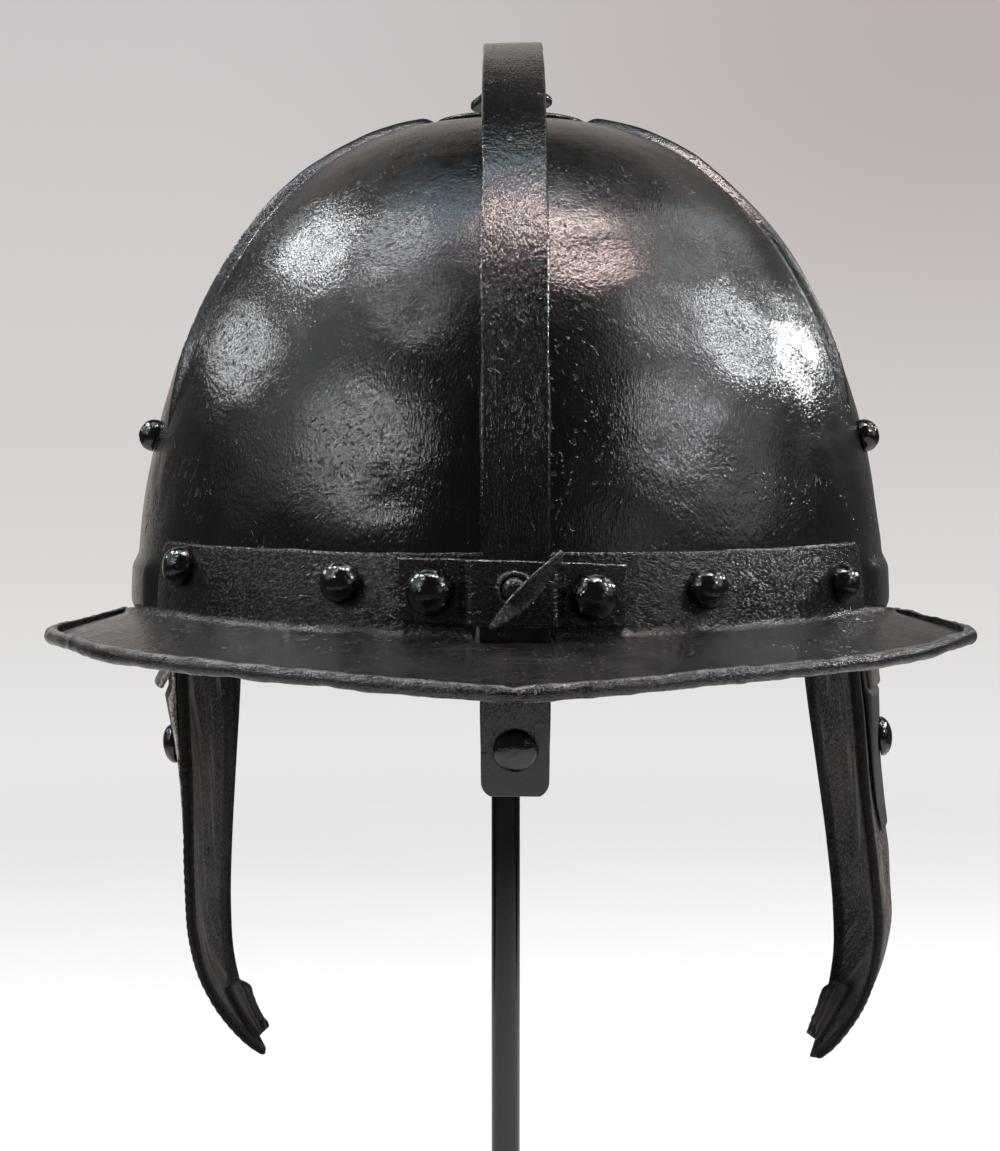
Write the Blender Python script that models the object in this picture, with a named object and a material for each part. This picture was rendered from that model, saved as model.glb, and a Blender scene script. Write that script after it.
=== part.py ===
"""Lobster-tail pot helmet with a sliding nasal bar, on a plain rod stand.

Units are metres and +Z is up. The helmet faces -Y. The origin is the centre of the
underside of the stand's base. Heights named *_Z are above the helmet's rim line,
which itself lies RIM_Z above the origin.
"""
import math

import bmesh
import bpy
import numpy as np
from mathutils import Matrix, Vector

# ---- skull -------------------------------------------------------------------
RIM_Z = 0.240
SKULL_HALF_WIDTH = 0.1025
SKULL_HALF_LENGTH = 0.1150
SKULL_HEIGHT = 0.1330
SKULL_ROUND = 2.564
SKULL_CROWN = 1.949
WALL = 0.0016
GAP = 0.0003
# azimuth of each rib, and how many plain columns follow it
RIBS = ((0.0, 5), (67.5, 3), (124.0, 4), (180.0, 4), (236.0, 3), (292.5, 5))
RIB_HALF_WIDTH = 0.0034
RIB_HEIGHT = 0.0018
RIB_FADE_Z = (0.045, 0.070)
RIB_START_R = (0.0215, 0.0270)
HEM_DEPTH = 0.0015
HEM_ANGLE = (60.5, 67.0)
ROSETTE_R = 0.0205
ROSETTE_THICK = 0.0014
# ---- peak and its standing band -----------------------------------------------
BAND_TOP_Z = 0.0190
BAND_ANGLE = 59.0
PEAK_THICK = 0.0016
PEAK_END_ANGLE = 82.0
PEAK_OUTLINE = (
    (0.0000, -0.1612), (0.0130, -0.1578), (0.0255, -0.1530), (0.0480, -0.1412),
    (0.0690, -0.1268), (0.0870, -0.1105), (0.1015, -0.0920), (0.1120, -0.0700),
    (0.1180, -0.0560), (0.1203, -0.0465), (0.1180, -0.0388), (0.1095, -0.0270),
    (0.1068, -0.0175),
)
PEAK_OUTLINE_ANGLE = (0.0, 4.6, 9.3, 19.0, 29.0, 39.5, 50.5, 60.5, 66.0, 70.0, 74.0, 78.5, 82.0)
PEAK_ROOT_Z = (0.0, 0.0, 0.0001, 0.0004, 0.0008, 0.0014, 0.0021, 0.0024, 0.0020, 0.0014, 0.0007, -0.0004, -0.0012)
PEAK_SLOPE = (0.19, 0.29)
PEAK_ROLL_R = 0.0019
# ---- nasal bar -----------------------------------------------------------------
BAR_RADIUS = 0.1460
BAR_CENTRE_Y = 0.0258
BAR_CENTRE_Z = 0.0119
BAR_X = 0.0007
BAR_WIDTH = 0.0162
BAR_THICK = 0.0028
BAR_START = -19.3
BAR_END = 115.0
BAR_CUSP = 107.5
BAR_CUSP_HALF = 0.0126
KNOB_ANGLE = -15.2
KNOB_R = 0.0060
KNOB_H = 0.0034
# ---- staple and wing screw ------------------------------------------------------
STAPLE_HALF = 0.0262
STAPLE_RAISED_HALF = 0.0104
STAPLE_Z = (0.0026, 0.0174)
STAPLE_THICK = 0.0016
SCREW_X = 0.0005
SCREW_Z = 0.0110
SCREW_HOLE_R = 0.0024
SCREW_SHANK_R = 0.0020
SCREW_BOSS_R = 0.0028
BLADE_ENDS = ((-0.0050, 0.0023), (0.0113, 0.0198))
BLADE_HALF = 0.0019
BLADE_THICK = 0.0014
# ---- rivets: angle from the front, height -----------------------------------------
BAND_RIVETS = ((-51.3, 0.0140), (-22.3, 0.0118), (25.8, 0.0102), (51.3, 0.0098))
BAND_RIVET_R = 0.0049
BAND_RIVET_H = 0.0042
STAPLE_RIVET_X = 0.0187
STAPLE_RIVET_R = 0.0053
SIDE_RIVET_ANGLE = {"left": -78.0, "right": 73.0}
SIDE_RIVET = (0.0469, 0.0043, 0.0046)
# ---- cheekpieces: height, front Y, rear Y, front X, rear X, bulge -------------------
CHEEK_STATIONS = (
    (-0.0050, -0.0220, 0.0490, 0.0884, 0.0808, 0.0090),
    (-0.0240, -0.0215, 0.0485, 0.0880, 0.0812, 0.0080),
    (-0.0500, -0.0200, 0.0470, 0.0874, 0.0828, 0.0046),
    (-0.0750, -0.0170, 0.0440, 0.0876, 0.0840, 0.0030),
    (-0.0920, -0.0120, 0.0410, 0.0872, 0.0840, 0.0026),
    (-0.1060, -0.0040, 0.0360, 0.0846, 0.0824, 0.0024),
    (-0.1180, 0.0050, 0.0300, 0.0795, 0.0783, 0.0020),
    (-0.1260, 0.0120, 0.0240, 0.0742, 0.0742, 0.0012),
    (-0.1305, 0.0165, 0.0195, 0.0706, 0.0708, 0.0003),
)
CHEEK_THICK = 0.0020
CHEEK_TILT = {"left": 0.0, "right": 7.2}
CHEEK_BULGE = {"left": 0.0, "right": 0.0060}
CHEEK_SHIFT = {"left": 0.0, "right": 0.0026}
CHEEK_TWIST = {"left": (0.0, 0.0), "right": (0.0040, -0.0022)}
CHEEK_RIVET = (-0.0020, -0.0380, 0.0055, 0.0035)
# ---- tail ---------------------------------------------------------------------------
TAIL_LENGTH = 0.0900
TAIL_SIDE_LENGTH = 0.0140
TAIL_SLOPE = 25.0
TAIL_HALF_ANGLES = (60.5, 55.0, 48.0, 40.0)
TAIL_CUTS = (0.0, 0.28, 0.53, 0.77, 1.0)
TAIL_THICK = 0.0012
TAIL_STEP = 0.0021
# ---- stand -----------------------------------------------------------------------------
ROD_R = 0.0039
BASE_R = 0.0800
BASE_H = 0.0100
PAD_R = 0.0340


def clear_scene():
    """Start from an empty file."""
    for obj in list(bpy.data.objects):
        bpy.data.objects.remove(obj, do_unlink=True)


def make_material(name, colour, metallic, roughness):
    """One plain finish for each sub-part."""
    mat = bpy.data.materials.new(name)
    mat.use_nodes = True
    shader = mat.node_tree.nodes["Principled BSDF"]
    shader.inputs["Base Color"].default_value = (*colour, 1.0)
    shader.inputs["Metallic"].default_value = metallic
    shader.inputs["Roughness"].default_value = roughness
    return mat


def add_mesh(name, verts, faces, finish, parent=None):
    """Make one closed piece, its faces turned outward."""
    mesh = bpy.data.meshes.new(name)
    shift = Vector((0.0, 0.0, 0.0)) if parent is None else parent.location
    mesh.from_pydata([tuple(Vector(v) - shift) for v in verts], [], [list(f) for f in faces])
    bm = bmesh.new()
    bm.from_mesh(mesh)
    bmesh.ops.recalc_face_normals(bm, faces=bm.faces)
    bm.to_mesh(mesh)
    bm.free()
    obj = bpy.data.objects.new(name, mesh)
    bpy.context.scene.collection.objects.link(obj)
    mesh.materials.append(make_material(name + "_finish", *finish))
    if parent is not None:
        obj.parent = parent
    return obj


def add_boolean(obj, cutter, operation):
    """Cut or join exactly, with the cutter left out of the part."""
    mod = obj.modifiers.new(operation.lower(), "BOOLEAN")
    mod.operation = operation
    mod.solver = "EXACT"
    mod.object = cutter
    cutter.hide_render = True
    cutter.display_type = "WIRE"


def smooth(low, high, value):
    """Rise smoothly from 0 at low to 1 at high."""
    t = np.clip((np.asarray(value, dtype=float) - low) / (high - low), 0.0, 1.0)
    return t * t * (3.0 - 2.0 * t)


def sheet(outer, inner):
    """Closed solid from two matching grids of points."""
    rows, cols, _ = outer.shape
    verts = np.concatenate([outer.reshape(-1, 3), inner.reshape(-1, 3)])
    base = rows * cols
    faces = []
    for i in range(rows - 1):
        for j in range(cols - 1):
            a = i * cols + j
            faces.append((a, a + 1, a + cols + 1, a + cols))
            faces.append((base + a, base + a + cols, base + a + cols + 1, base + a + 1))
    edge = [j for j in range(cols)]
    edge += [i * cols + cols - 1 for i in range(1, rows)]
    edge += [(rows - 1) * cols + j for j in range(cols - 2, -1, -1)]
    edge += [i * cols for i in range(rows - 2, 0, -1)]
    for k, a in enumerate(edge):
        b = edge[(k + 1) % len(edge)]
        faces.append((a, base + a, base + b, b))
    return verts, faces


def loft(loops):
    """Closed solid through matching closed sections, flat at both ends."""
    count, ring, _ = loops.shape
    verts = loops.reshape(-1, 3)
    faces = []
    for i in range(count - 1):
        for j in range(ring):
            k = (j + 1) % ring
            faces.append((i * ring + j, i * ring + k, (i + 1) * ring + k, (i + 1) * ring + j))
    faces.append(tuple(range(ring)))
    faces.append(tuple((count - 1) * ring + j for j in range(ring)))
    return verts, faces


def lathe(profile, origin, axis, segments):
    """Turn (radius, height) pairs about an axis; ends on the axis close to a point."""
    turn = Vector((0.0, 0.0, 1.0)).rotation_difference(Vector(axis).normalized()).to_matrix()
    place = Matrix.Translation(Vector(origin)) @ turn.to_4x4()
    verts = []
    rings = []
    for radius, height in profile:
        if radius < 1e-7:
            rings.append([len(verts)])
            verts.append(place @ Vector((0.0, 0.0, height)))
            continue
        ring = []
        for k in range(segments):
            angle = 2.0 * math.pi * k / segments
            ring.append(len(verts))
            verts.append(place @ Vector((radius * math.cos(angle), radius * math.sin(angle), height)))
        rings.append(ring)
    faces = []
    for low, high in zip(rings[:-1], rings[1:]):
        for k in range(segments):
            n = (k + 1) % segments
            quad = [low[k % len(low)], low[n % len(low)], high[n % len(high)], high[k % len(high)]]
            faces.append(tuple(dict.fromkeys(quad)))
    for ring in (rings[0], rings[-1]):
        if len(ring) > 1:
            faces.append(tuple(ring))
    return verts, faces


def hem_swell(angle, height):
    """Outward step of the skull's hem beside and behind the band."""
    around = smooth(HEM_ANGLE[0], HEM_ANGLE[1], np.abs(angle))
    up = smooth(0.0165, 0.0115, height) * (0.35 + 0.65 * smooth(0.0, 0.0035, height))
    return HEM_DEPTH * around * up


def crown_radius(height, top=SKULL_HEIGHT):
    """Skull radius at a height, as a share of the rim's."""
    share = np.clip(np.asarray(height, dtype=float) / top, 0.0, 1.0) ** SKULL_CROWN
    return np.clip(1.0 - share, 0.0, 1.0) ** (1.0 / SKULL_ROUND)


def crown_height(share, top=SKULL_HEIGHT):
    """Height at which the skull has this share of the rim's radius."""
    return top * (1.0 - np.asarray(share, dtype=float) ** SKULL_ROUND) ** (1.0 / SKULL_CROWN)


def skull_point(angle, height, offset=0.0):
    """Point on the skull's outside, angle in degrees from the front, plus an offset out."""
    angle, height, offset = np.broadcast_arrays(
        np.asarray(angle, dtype=float), np.asarray(height, dtype=float), np.asarray(offset, dtype=float))
    rad = np.radians(angle)
    share = crown_radius(height)
    x = SKULL_HALF_WIDTH * share * np.sin(rad)
    y = -SKULL_HALF_LENGTH * share * np.cos(rad)
    ring = np.maximum(share, 1e-4) ** (SKULL_ROUND - 2.0) * SKULL_ROUND
    up = SKULL_CROWN * (np.maximum(height, 1e-9) / SKULL_HEIGHT) ** (SKULL_CROWN - 1.0) / SKULL_HEIGHT
    normal = np.stack([ring * x / SKULL_HALF_WIDTH ** 2, ring * y / SKULL_HALF_LENGTH ** 2, up], axis=-1)
    normal /= np.linalg.norm(normal, axis=-1, keepdims=True)
    point = np.stack([x, y, height + RIM_Z], axis=-1)
    return point + normal * offset[..., None], normal


def skull_columns(radius):
    """Azimuths of one row's columns: five at each rib and plain ones between."""
    half = np.degrees(RIB_HALF_WIDTH / max(radius, 0.012))
    spread = min(1.0, 13.0 / half)
    ends = [azimuth for azimuth, _ in RIBS[1:]] + [360.0]
    angles = []
    lifts = []
    for (centre, plain), end in zip(RIBS, ends):
        for share, lift in ((-1.5, -0.14), (-0.8, 0.15), (0.0, 1.0), (0.8, 0.15), (1.5, -0.14)):
            angles.append(centre + share * half * spread)
            lifts.append(lift)
        first = centre + 1.5 * half * spread
        last = end - 1.5 * half * spread
        for j in range(1, plain + 1):
            angles.append(first + (last - first) * j / (plain + 1))
            lifts.append(0.0)
    return np.array(angles), np.array(lifts)


def skull_grid(offset):
    """Rows of the skull from the rim up to just below the apex."""
    low = np.array([0.0, 0.0014, 0.0036, 0.0110, 0.0140, 0.0168, 0.028, 0.044, 0.060, 0.076])
    high = crown_height(np.array([0.72, 0.60, 0.475, 0.35, 0.255, 0.19, 0.10]))
    rows = []
    for height in np.concatenate([low, high]):
        radius = float(crown_radius(height)) * SKULL_HALF_WIDTH
        angles, lifts = skull_columns(radius)
        wrapped = (angles + 180.0) % 360.0 - 180.0
        lift = lifts * RIB_HEIGHT * smooth(*RIB_FADE_Z, height) * smooth(*RIB_START_R, radius)
        swell = hem_swell(wrapped, height)
        rows.append(skull_point(angles, height, lift + swell + offset)[0])
    return np.array(rows)


def build_skull():
    """Hollow bowl with six low ribs and a stepped hem."""
    outer = skull_grid(0.0)
    inner = skull_grid(-WALL)
    inner[0, :, 2] = outer[0, :, 2]
    rows, cols, _ = outer.shape
    top = (0.0, 0.0, RIM_Z + SKULL_HEIGHT)
    under = (0.0, 0.0, RIM_Z + SKULL_HEIGHT - WALL)
    verts = [tuple(p) for p in outer.reshape(-1, 3)] + [tuple(p) for p in inner.reshape(-1, 3)]
    base = rows * cols
    verts += [top, under]
    faces = []
    for i in range(rows - 1):
        for j in range(cols):
            k = (j + 1) % cols
            faces.append((i * cols + j, i * cols + k, (i + 1) * cols + k, (i + 1) * cols + j))
            faces.append((base + i * cols + k, base + i * cols + j,
                          base + (i + 1) * cols + j, base + (i + 1) * cols + k))
    last = (rows - 1) * cols
    for j in range(cols):
        k = (j + 1) % cols
        faces.append((last + j, last + k, 2 * base))
        faces.append((base + last + k, base + last + j, 2 * base + 1))
        faces.append((k, j, base + j, base + k))
    return add_mesh("skull", verts, faces, ((0.02, 0.022, 0.025), 0.6, 0.35))


def build_rosette():
    """Thin disc lying on the apex."""
    radii = np.array([0.0, 0.008, 0.0145, ROSETTE_R])
    angles = np.arange(24) * 15.0
    verts = []
    for offset, trim in ((GAP + ROSETTE_THICK, 0.0010), (GAP, 0.0)):
        for k, radius in enumerate(radii):
            edge = trim if k == len(radii) - 1 else 0.0
            share = (radius - edge) / SKULL_HALF_WIDTH
            height = float(crown_height(share))
            if k == 0:
                verts.append((0.0, 0.0, RIM_Z + SKULL_HEIGHT + offset))
            else:
                verts += [tuple(p) for p in skull_point(angles, height, offset)[0]]
    count = 1 + 3 * 24
    faces = []
    for side in (0, count):
        for j in range(24):
            k = (j + 1) % 24
            faces.append((side, side + 1 + j, side + 1 + k))
            for ring in (0, 1):
                a = side + 1 + ring * 24
                faces.append((a + j, a + 24 + j, a + 24 + k, a + k))
    for j in range(24):
        k = (j + 1) % 24
        faces.append((49 + j, 49 + k, count + 49 + k, count + 49 + j))
    return add_mesh("apex_rosette", verts, faces, ((0.02, 0.021, 0.023), 0.6, 0.35))


def peak_columns():
    """Root angles and outline points of the peak, from one side to the other."""
    outline = np.array(PEAK_OUTLINE)
    angles = np.array(PEAK_OUTLINE_ANGLE)
    inside = np.array([0.0, 1.6, 4.6, 8.4, 13.0, 19.0, 25.0, 31.0, 37.0, 43.0, 49.0, 54.0, 57.0, 58.4,
                       59.2, 61.0, 64.0, 67.0, 70.0, 72.5, 75.0, 78.5, 82.0])
    x = np.interp(inside, angles, outline[:, 0])
    y = np.interp(inside, angles, outline[:, 1])
    angle = np.concatenate([-inside[:0:-1], inside])
    return angle, np.concatenate([-x[:0:-1], x]), np.concatenate([y[:0:-1], y])


def root_height(angle):
    """Height of the fold between band and peak."""
    return float(np.interp(abs(angle), PEAK_OUTLINE_ANGLE, PEAK_ROOT_Z))


def band_top(angle):
    """Height of the standing band's top edge, rounded off at its ends."""
    root = root_height(angle)
    stub = root + 0.0022
    past = max(0.0, abs(angle) - (BAND_ANGLE - 2.6)) / 2.6
    if past >= 1.0:
        return stub
    return stub + (BAND_TOP_Z + 0.0008 * (abs(angle) / 50.0) ** 2 - stub) * math.sqrt(1.0 - past ** 2.5)


def peak_section(angle, edge_x, edge_y):
    """Closed section of the peak in the upright plane through its root and edge."""
    swell = float(HEM_DEPTH * smooth(HEM_ANGLE[0] - 1.0, HEM_ANGLE[1] - 1.0, abs(angle)))
    root_z = root_height(angle)
    top_z = band_top(angle)
    near = GAP + swell
    far = near + PEAK_THICK

    def wall(height, offset):
        return skull_point(angle, max(height, 0.0), offset)[0]

    foot = wall(root_z, near)
    edge = np.array([edge_x, edge_y, 0.0])
    along = edge - foot
    along[2] = 0.0
    length = float(np.linalg.norm(along))
    along /= length
    side = math.sin(math.radians(abs(angle))) ** 2
    slope = PEAK_SLOPE[0] + (PEAK_SLOPE[1] - PEAK_SLOPE[0]) * side

    def flange(distance, lift):
        point = foot + along * distance
        point[2] = RIM_Z + root_z - slope * distance + lift
        return point

    bend = min(0.0016, 0.35 * (top_z - root_z))
    start = PEAK_THICK + min(0.0016, 0.3 * length)
    roll = PEAK_ROLL_R
    neck = length - roll * 1.75
    points = [wall(top_z, near), wall(top_z, far)]
    points += [wall(root_z + bend + 0.4 * (top_z - root_z - bend), far), wall(root_z + bend, far)]
    corner = 0.5 * (points[-1] + flange(start, 0.0)) * 0.45 + flange(PEAK_THICK, 0.0) * 0.55
    points += [corner, flange(start, 0.0)]
    points += [flange(start + (neck - start) * 0.5, 0.0), flange(neck, 0.0)]
    middle = flange(length - roll, -0.5 * PEAK_THICK)
    upright = np.array([0.0, 0.0, 1.0])
    for turn in (100.0, 50.0, 0.0, -50.0, -100.0):
        rad = math.radians(turn)
        points.append(middle + along * roll * math.cos(rad) + upright * roll * math.sin(rad))
    points += [flange(neck, -PEAK_THICK), flange(start + (neck - start) * 0.5, -PEAK_THICK)]
    points += [flange(0.0010, -PEAK_THICK), wall(root_z - 0.0004, near)]
    points += [wall(root_z + 0.5 * (top_z - root_z), near)]
    return points


def build_peak():
    """Peak and standing band in one plate, rolled at the edge, slotted for the bar."""
    angles, xs, ys = peak_columns()
    loops = np.array([peak_section(a, x, y) for a, x, y in zip(angles, xs, ys)])
    peak = add_mesh("peak", *loft(loops), ((0.022, 0.022, 0.023), 0.6, 0.4))
    half = BAR_WIDTH / 2.0 + 0.0013
    front = -SKULL_HALF_LENGTH - 0.0064
    back = -SKULL_HALF_LENGTH - 0.0015
    box = [(x, y, RIM_Z + z) for z in (-0.010, 0.0040) for y in (front, back) for x in (-half, half)]
    faces = [(0, 1, 3, 2), (4, 5, 7, 6), (0, 1, 5, 4), (2, 3, 7, 6), (0, 2, 6, 4), (1, 3, 7, 5)]
    cutter = add_mesh("bar_slot_cutter", box, faces, ((0.5, 0.5, 0.5), 0.0, 0.5))
    add_boolean(peak, cutter, "DIFFERENCE")
    return peak


def bar_point(turn, radius, x):
    """Point on the bar's arc, turn in degrees up from straight ahead."""
    rad = math.radians(turn)
    return (x + BAR_X, BAR_CENTRE_Y - radius * math.cos(rad), RIM_Z + BAR_CENTRE_Z + radius * math.sin(rad))


def bar_stations():
    """Turns and half-widths along the bar, with its cusped end."""
    half = BAR_WIDTH / 2.0
    stations = [(BAR_START, half - 0.0022), (BAR_START + 0.35, half - 0.0008), (BAR_START + 1.0, half)]
    stations += [(turn, half) for turn in np.linspace(-14.0, 102.0, 25)]
    stations += [(105.2, half + 0.0004), (106.6, half + 0.0028), (BAR_CUSP, BAR_CUSP_HALF)]
    stations += [(108.3, BAR_CUSP_HALF - 0.0012), (109.3, 0.0078), (111.5, 0.0058), (113.6, 0.0032)]
    stations += [(BAR_END, 0.0008)]
    return stations


def build_nasal_bar(pivot):
    """Nasal bar: one long arc of flat stock with a cusped top end."""
    loops = []
    inner = BAR_RADIUS - BAR_THICK
    for turn, half in bar_stations():
        bevel = min(0.0005, half * 0.3)
        loops.append([
            bar_point(turn, inner, -half), bar_point(turn, inner, half),
            bar_point(turn, BAR_RADIUS - bevel, half), bar_point(turn, BAR_RADIUS, half - bevel),
            bar_point(turn, BAR_RADIUS, -half + bevel), bar_point(turn, BAR_RADIUS - bevel, -half),
        ])
    return add_mesh("nasal_bar", *loft(np.array(loops)), ((0.02, 0.021, 0.024), 0.6, 0.35), pivot)


def dome_profile(radius, height):
    """Low round rivet head with a short upright edge."""
    profile = [(radius, 0.0), (radius, height * 0.14)]
    for turn in (24.0, 48.0, 70.0):
        rad = math.radians(turn)
        profile.append((radius * math.cos(rad), height * (0.14 + 0.86 * math.sin(rad))))
    return profile + [(0.0, height)]


def add_dome(name, point, normal, radius, height, parent=None):
    """Rivet head standing GAP off the plate under it."""
    origin = Vector(point) + Vector(normal) * GAP
    verts, faces = lathe(dome_profile(radius, height), origin, normal, 12)
    return add_mesh(name, verts, faces, ((0.015, 0.015, 0.017), 0.7, 0.25), parent)


def build_knob(pivot):
    """Round stop knob low on the nasal bar."""
    rad = math.radians(KNOB_ANGLE)
    normal = (0.0, -math.cos(rad), math.sin(rad))
    return add_dome("nasal_knob", bar_point(KNOB_ANGLE, BAR_RADIUS, 0.0), normal, KNOB_R, KNOB_H, pivot)


def band_face_y(x, offset):
    """Y of the band's outer face near its middle, at a sideways distance x."""
    a = SKULL_HALF_WIDTH + GAP + PEAK_THICK + offset
    b = SKULL_HALF_LENGTH + GAP + PEAK_THICK + offset
    return -b * math.sqrt(1.0 - (x / a) ** 2)


def build_staple():
    """Strap that holds the bar against the band, with a hole for the screw."""
    lift = BAR_CENTRE_Y - BAR_RADIUS - GAP
    half = STAPLE_RAISED_HALF
    inner = [(-STAPLE_HALF, band_face_y(STAPLE_HALF, GAP)), (-0.0185, band_face_y(0.0185, GAP)),
             (-half - 0.0012, band_face_y(half + 0.0012, GAP)), (-half + 0.0012, lift),
             (0.0, lift), (half - 0.0012, lift), (half + 0.0012, band_face_y(half + 0.0012, GAP)),
             (0.0185, band_face_y(0.0185, GAP)), (STAPLE_HALF, band_face_y(STAPLE_HALF, GAP))]
    outer = [(x, y - STAPLE_THICK) for x, y in inner]
    outer[2] = (inner[2][0] - 0.0009, outer[2][1])
    outer[6] = (inner[6][0] + 0.0009, outer[6][1])
    outer[3] = (inner[3][0] - 0.0006, outer[3][1])
    outer[5] = (inner[5][0] + 0.0006, outer[5][1])
    grids = []
    for line in (outer, inner):
        rows = []
        for z in (STAPLE_Z[0], 0.5 * (STAPLE_Z[0] + STAPLE_Z[1]), STAPLE_Z[1]):
            rows.append([(x, y, RIM_Z + z - 0.03 * x) for x, y in line])
        grids.append(np.array(rows))
    staple = add_mesh("staple", *sheet(*grids), ((0.02, 0.02, 0.022), 0.6, 0.4))
    verts, faces = lathe([(SCREW_HOLE_R, -0.004), (SCREW_HOLE_R, 0.004)],
                         (SCREW_X, lift - STAPLE_THICK / 2.0, RIM_Z + SCREW_Z), (0.0, -1.0, 0.0), 20)
    cutter = add_mesh("screw_hole_cutter", verts, faces, ((0.5, 0.5, 0.5), 0.0, 0.5))
    add_boolean(staple, cutter, "DIFFERENCE")
    return staple


def blade_mesh(face_y):
    """Leaf-shaped wing, thin, standing proud of the staple and twisted a little."""
    low = np.array(BLADE_ENDS[0])
    high = np.array(BLADE_ENDS[1])
    along = (high - low) / np.linalg.norm(high - low)
    across = np.array([-along[1], along[0]])
    loops = []
    for share in (0.0, 0.12, 0.3, 0.45, 0.6, 0.8, 1.0):
        centre = low + (high - low) * share
        half = 0.0004 + BLADE_HALF * math.sin(math.pi * min(1.0, 0.08 + share * 0.9)) ** 0.8
        lean = 0.0012 * (share - 0.4)
        loop = []
        for side, depth in ((-1.0, 0.0), (1.0, -lean), (1.0, -lean - BLADE_THICK), (-1.0, -BLADE_THICK)):
            spot = centre + across * half * side
            loop.append((spot[0], face_y + depth, RIM_Z + spot[1]))
        loops.append(loop)
    return loft(np.array(loops))


def build_wing_screw(axis):
    """Wing screw: plain shank and boss, joined to a leaf-shaped wing."""
    bar_face = BAR_CENTRE_Y - BAR_RADIUS
    plate_face = bar_face - GAP - STAPLE_THICK
    length = bar_face - plate_face
    profile = [(0.0, 0.0), (SCREW_SHANK_R, 0.0), (SCREW_SHANK_R, length),
               (SCREW_BOSS_R, length), (SCREW_BOSS_R, length + 0.0034),
               (SCREW_BOSS_R * 0.7, length + 0.0042), (0.0, length + 0.0042)]
    origin = (SCREW_X, bar_face - GAP, RIM_Z + SCREW_Z)
    verts, faces = lathe(profile, origin, (0.0, -1.0, 0.0), 18)
    screw = add_mesh("wing_screw", verts, faces, ((0.02, 0.02, 0.021), 0.6, 0.4), axis)
    blade = add_mesh("wing_blade_joiner", *blade_mesh(plate_face - GAP - 0.0016),
                     ((0.5, 0.5, 0.5), 0.0, 0.5), axis)
    add_boolean(screw, blade, "UNION")
    return screw


def build_fixed_rivets():
    """Heads on the staple, the band and the skull's sides."""
    for number, (angle, height) in enumerate(BAND_RIVETS, start=1):
        point, normal = skull_point(angle, height, GAP + PEAK_THICK)
        add_dome("band_rivet_%d" % number, point, normal, BAND_RIVET_R, BAND_RIVET_H)
    for side, sign in (("left", -1.0), ("right", 1.0)):
        x = sign * STAPLE_RIVET_X
        point = (x, band_face_y(abs(x), GAP + STAPLE_THICK), RIM_Z + 0.0097 - 0.03 * x)
        normal = Vector((x / SKULL_HALF_WIDTH ** 2, point[1] / SKULL_HALF_LENGTH ** 2, 0.0)).normalized()
        add_dome("staple_rivet_" + side, point, normal, STAPLE_RIVET_R, 0.0046)
        height, radius, tall = SIDE_RIVET
        point, normal = skull_point(SIDE_RIVET_ANGLE[side], height)
        add_dome("side_rivet_" + side, point, normal, radius, tall)


def cheek_surface(side, offset):
    """Grid of one cheekpiece's face, offset outward, for the left or right side."""
    table = np.array(CHEEK_STATIONS)
    heights = table[:, 0]
    rows = np.array([-0.005, -0.016, -0.028, -0.042, -0.058, -0.075, -0.090, -0.103, -0.114, -0.122,
                     -0.1275, -0.1305])
    front_y, rear_y, front_x, rear_x, bulge = [np.interp(rows, heights[::-1], table[::-1, k]) for k in range(1, 6)]
    bulge = bulge + CHEEK_BULGE[side] * smooth(-0.130, -0.085, rows) * smooth(-0.005, -0.070, rows)
    rear_x = rear_x + np.interp(-rows, (0.005, 0.120), CHEEK_TWIST[side])
    share = np.linspace(0.0, 1.0, 8)[None, :]
    y = front_y[:, None] + (rear_y - front_y)[:, None] * share
    x = front_x[:, None] + (rear_x - front_x)[:, None] * share + bulge[:, None] * 4.0 * share * (1.0 - share)
    z = np.repeat(rows[:, None], share.size, axis=1)
    grid = np.stack([x, y, z], axis=-1)
    down = np.gradient(grid, axis=0)
    over = np.gradient(grid, axis=1)
    normal = np.cross(over, down)
    normal /= np.linalg.norm(normal, axis=-1, keepdims=True)
    normal *= np.sign(normal[..., :1])
    grid = grid + normal * offset
    return tilt_cheek(side, grid)


def tilt_cheek(side, grid):
    """Swing a cheekpiece's points out about its top and mirror them for the left."""
    rad = math.radians(CHEEK_TILT[side])
    x0, z0 = 0.0900, -0.0050
    dx = grid[..., 0] - x0
    dz = grid[..., 2] - z0
    x = x0 + dx * math.cos(rad) - dz * math.sin(rad)
    z = z0 + dz * math.cos(rad) + dx * math.sin(rad)
    x = x + CHEEK_SHIFT[side]
    sign = -1.0 if side == "left" else 1.0
    return np.stack([x * sign, grid[..., 1], z + RIM_Z], axis=-1)


def nearest_on_cheek(side, y, height):
    """Point and outward normal on a cheekpiece's outside at a given Y and height."""
    grid = cheek_surface(side, CHEEK_THICK / 2.0)
    gap = np.hypot(grid[..., 1] - y, grid[..., 2] - RIM_Z - height)
    i, j = np.unravel_index(np.argmin(gap), gap.shape)
    i = min(max(i, 1), grid.shape[0] - 2)
    j = min(max(j, 1), grid.shape[1] - 2)
    normal = np.cross(grid[i, j + 1] - grid[i, j - 1], grid[i + 1, j] - grid[i - 1, j])
    normal /= np.linalg.norm(normal)
    normal *= np.sign(normal[0]) * np.sign(grid[i, j, 0])
    shift = np.array([0.0, y, RIM_Z + height]) - grid[i, j]
    shift[0] = -(normal[1] * shift[1] + normal[2] * shift[2]) / normal[0]
    return grid[i, j] + shift, normal


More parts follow.
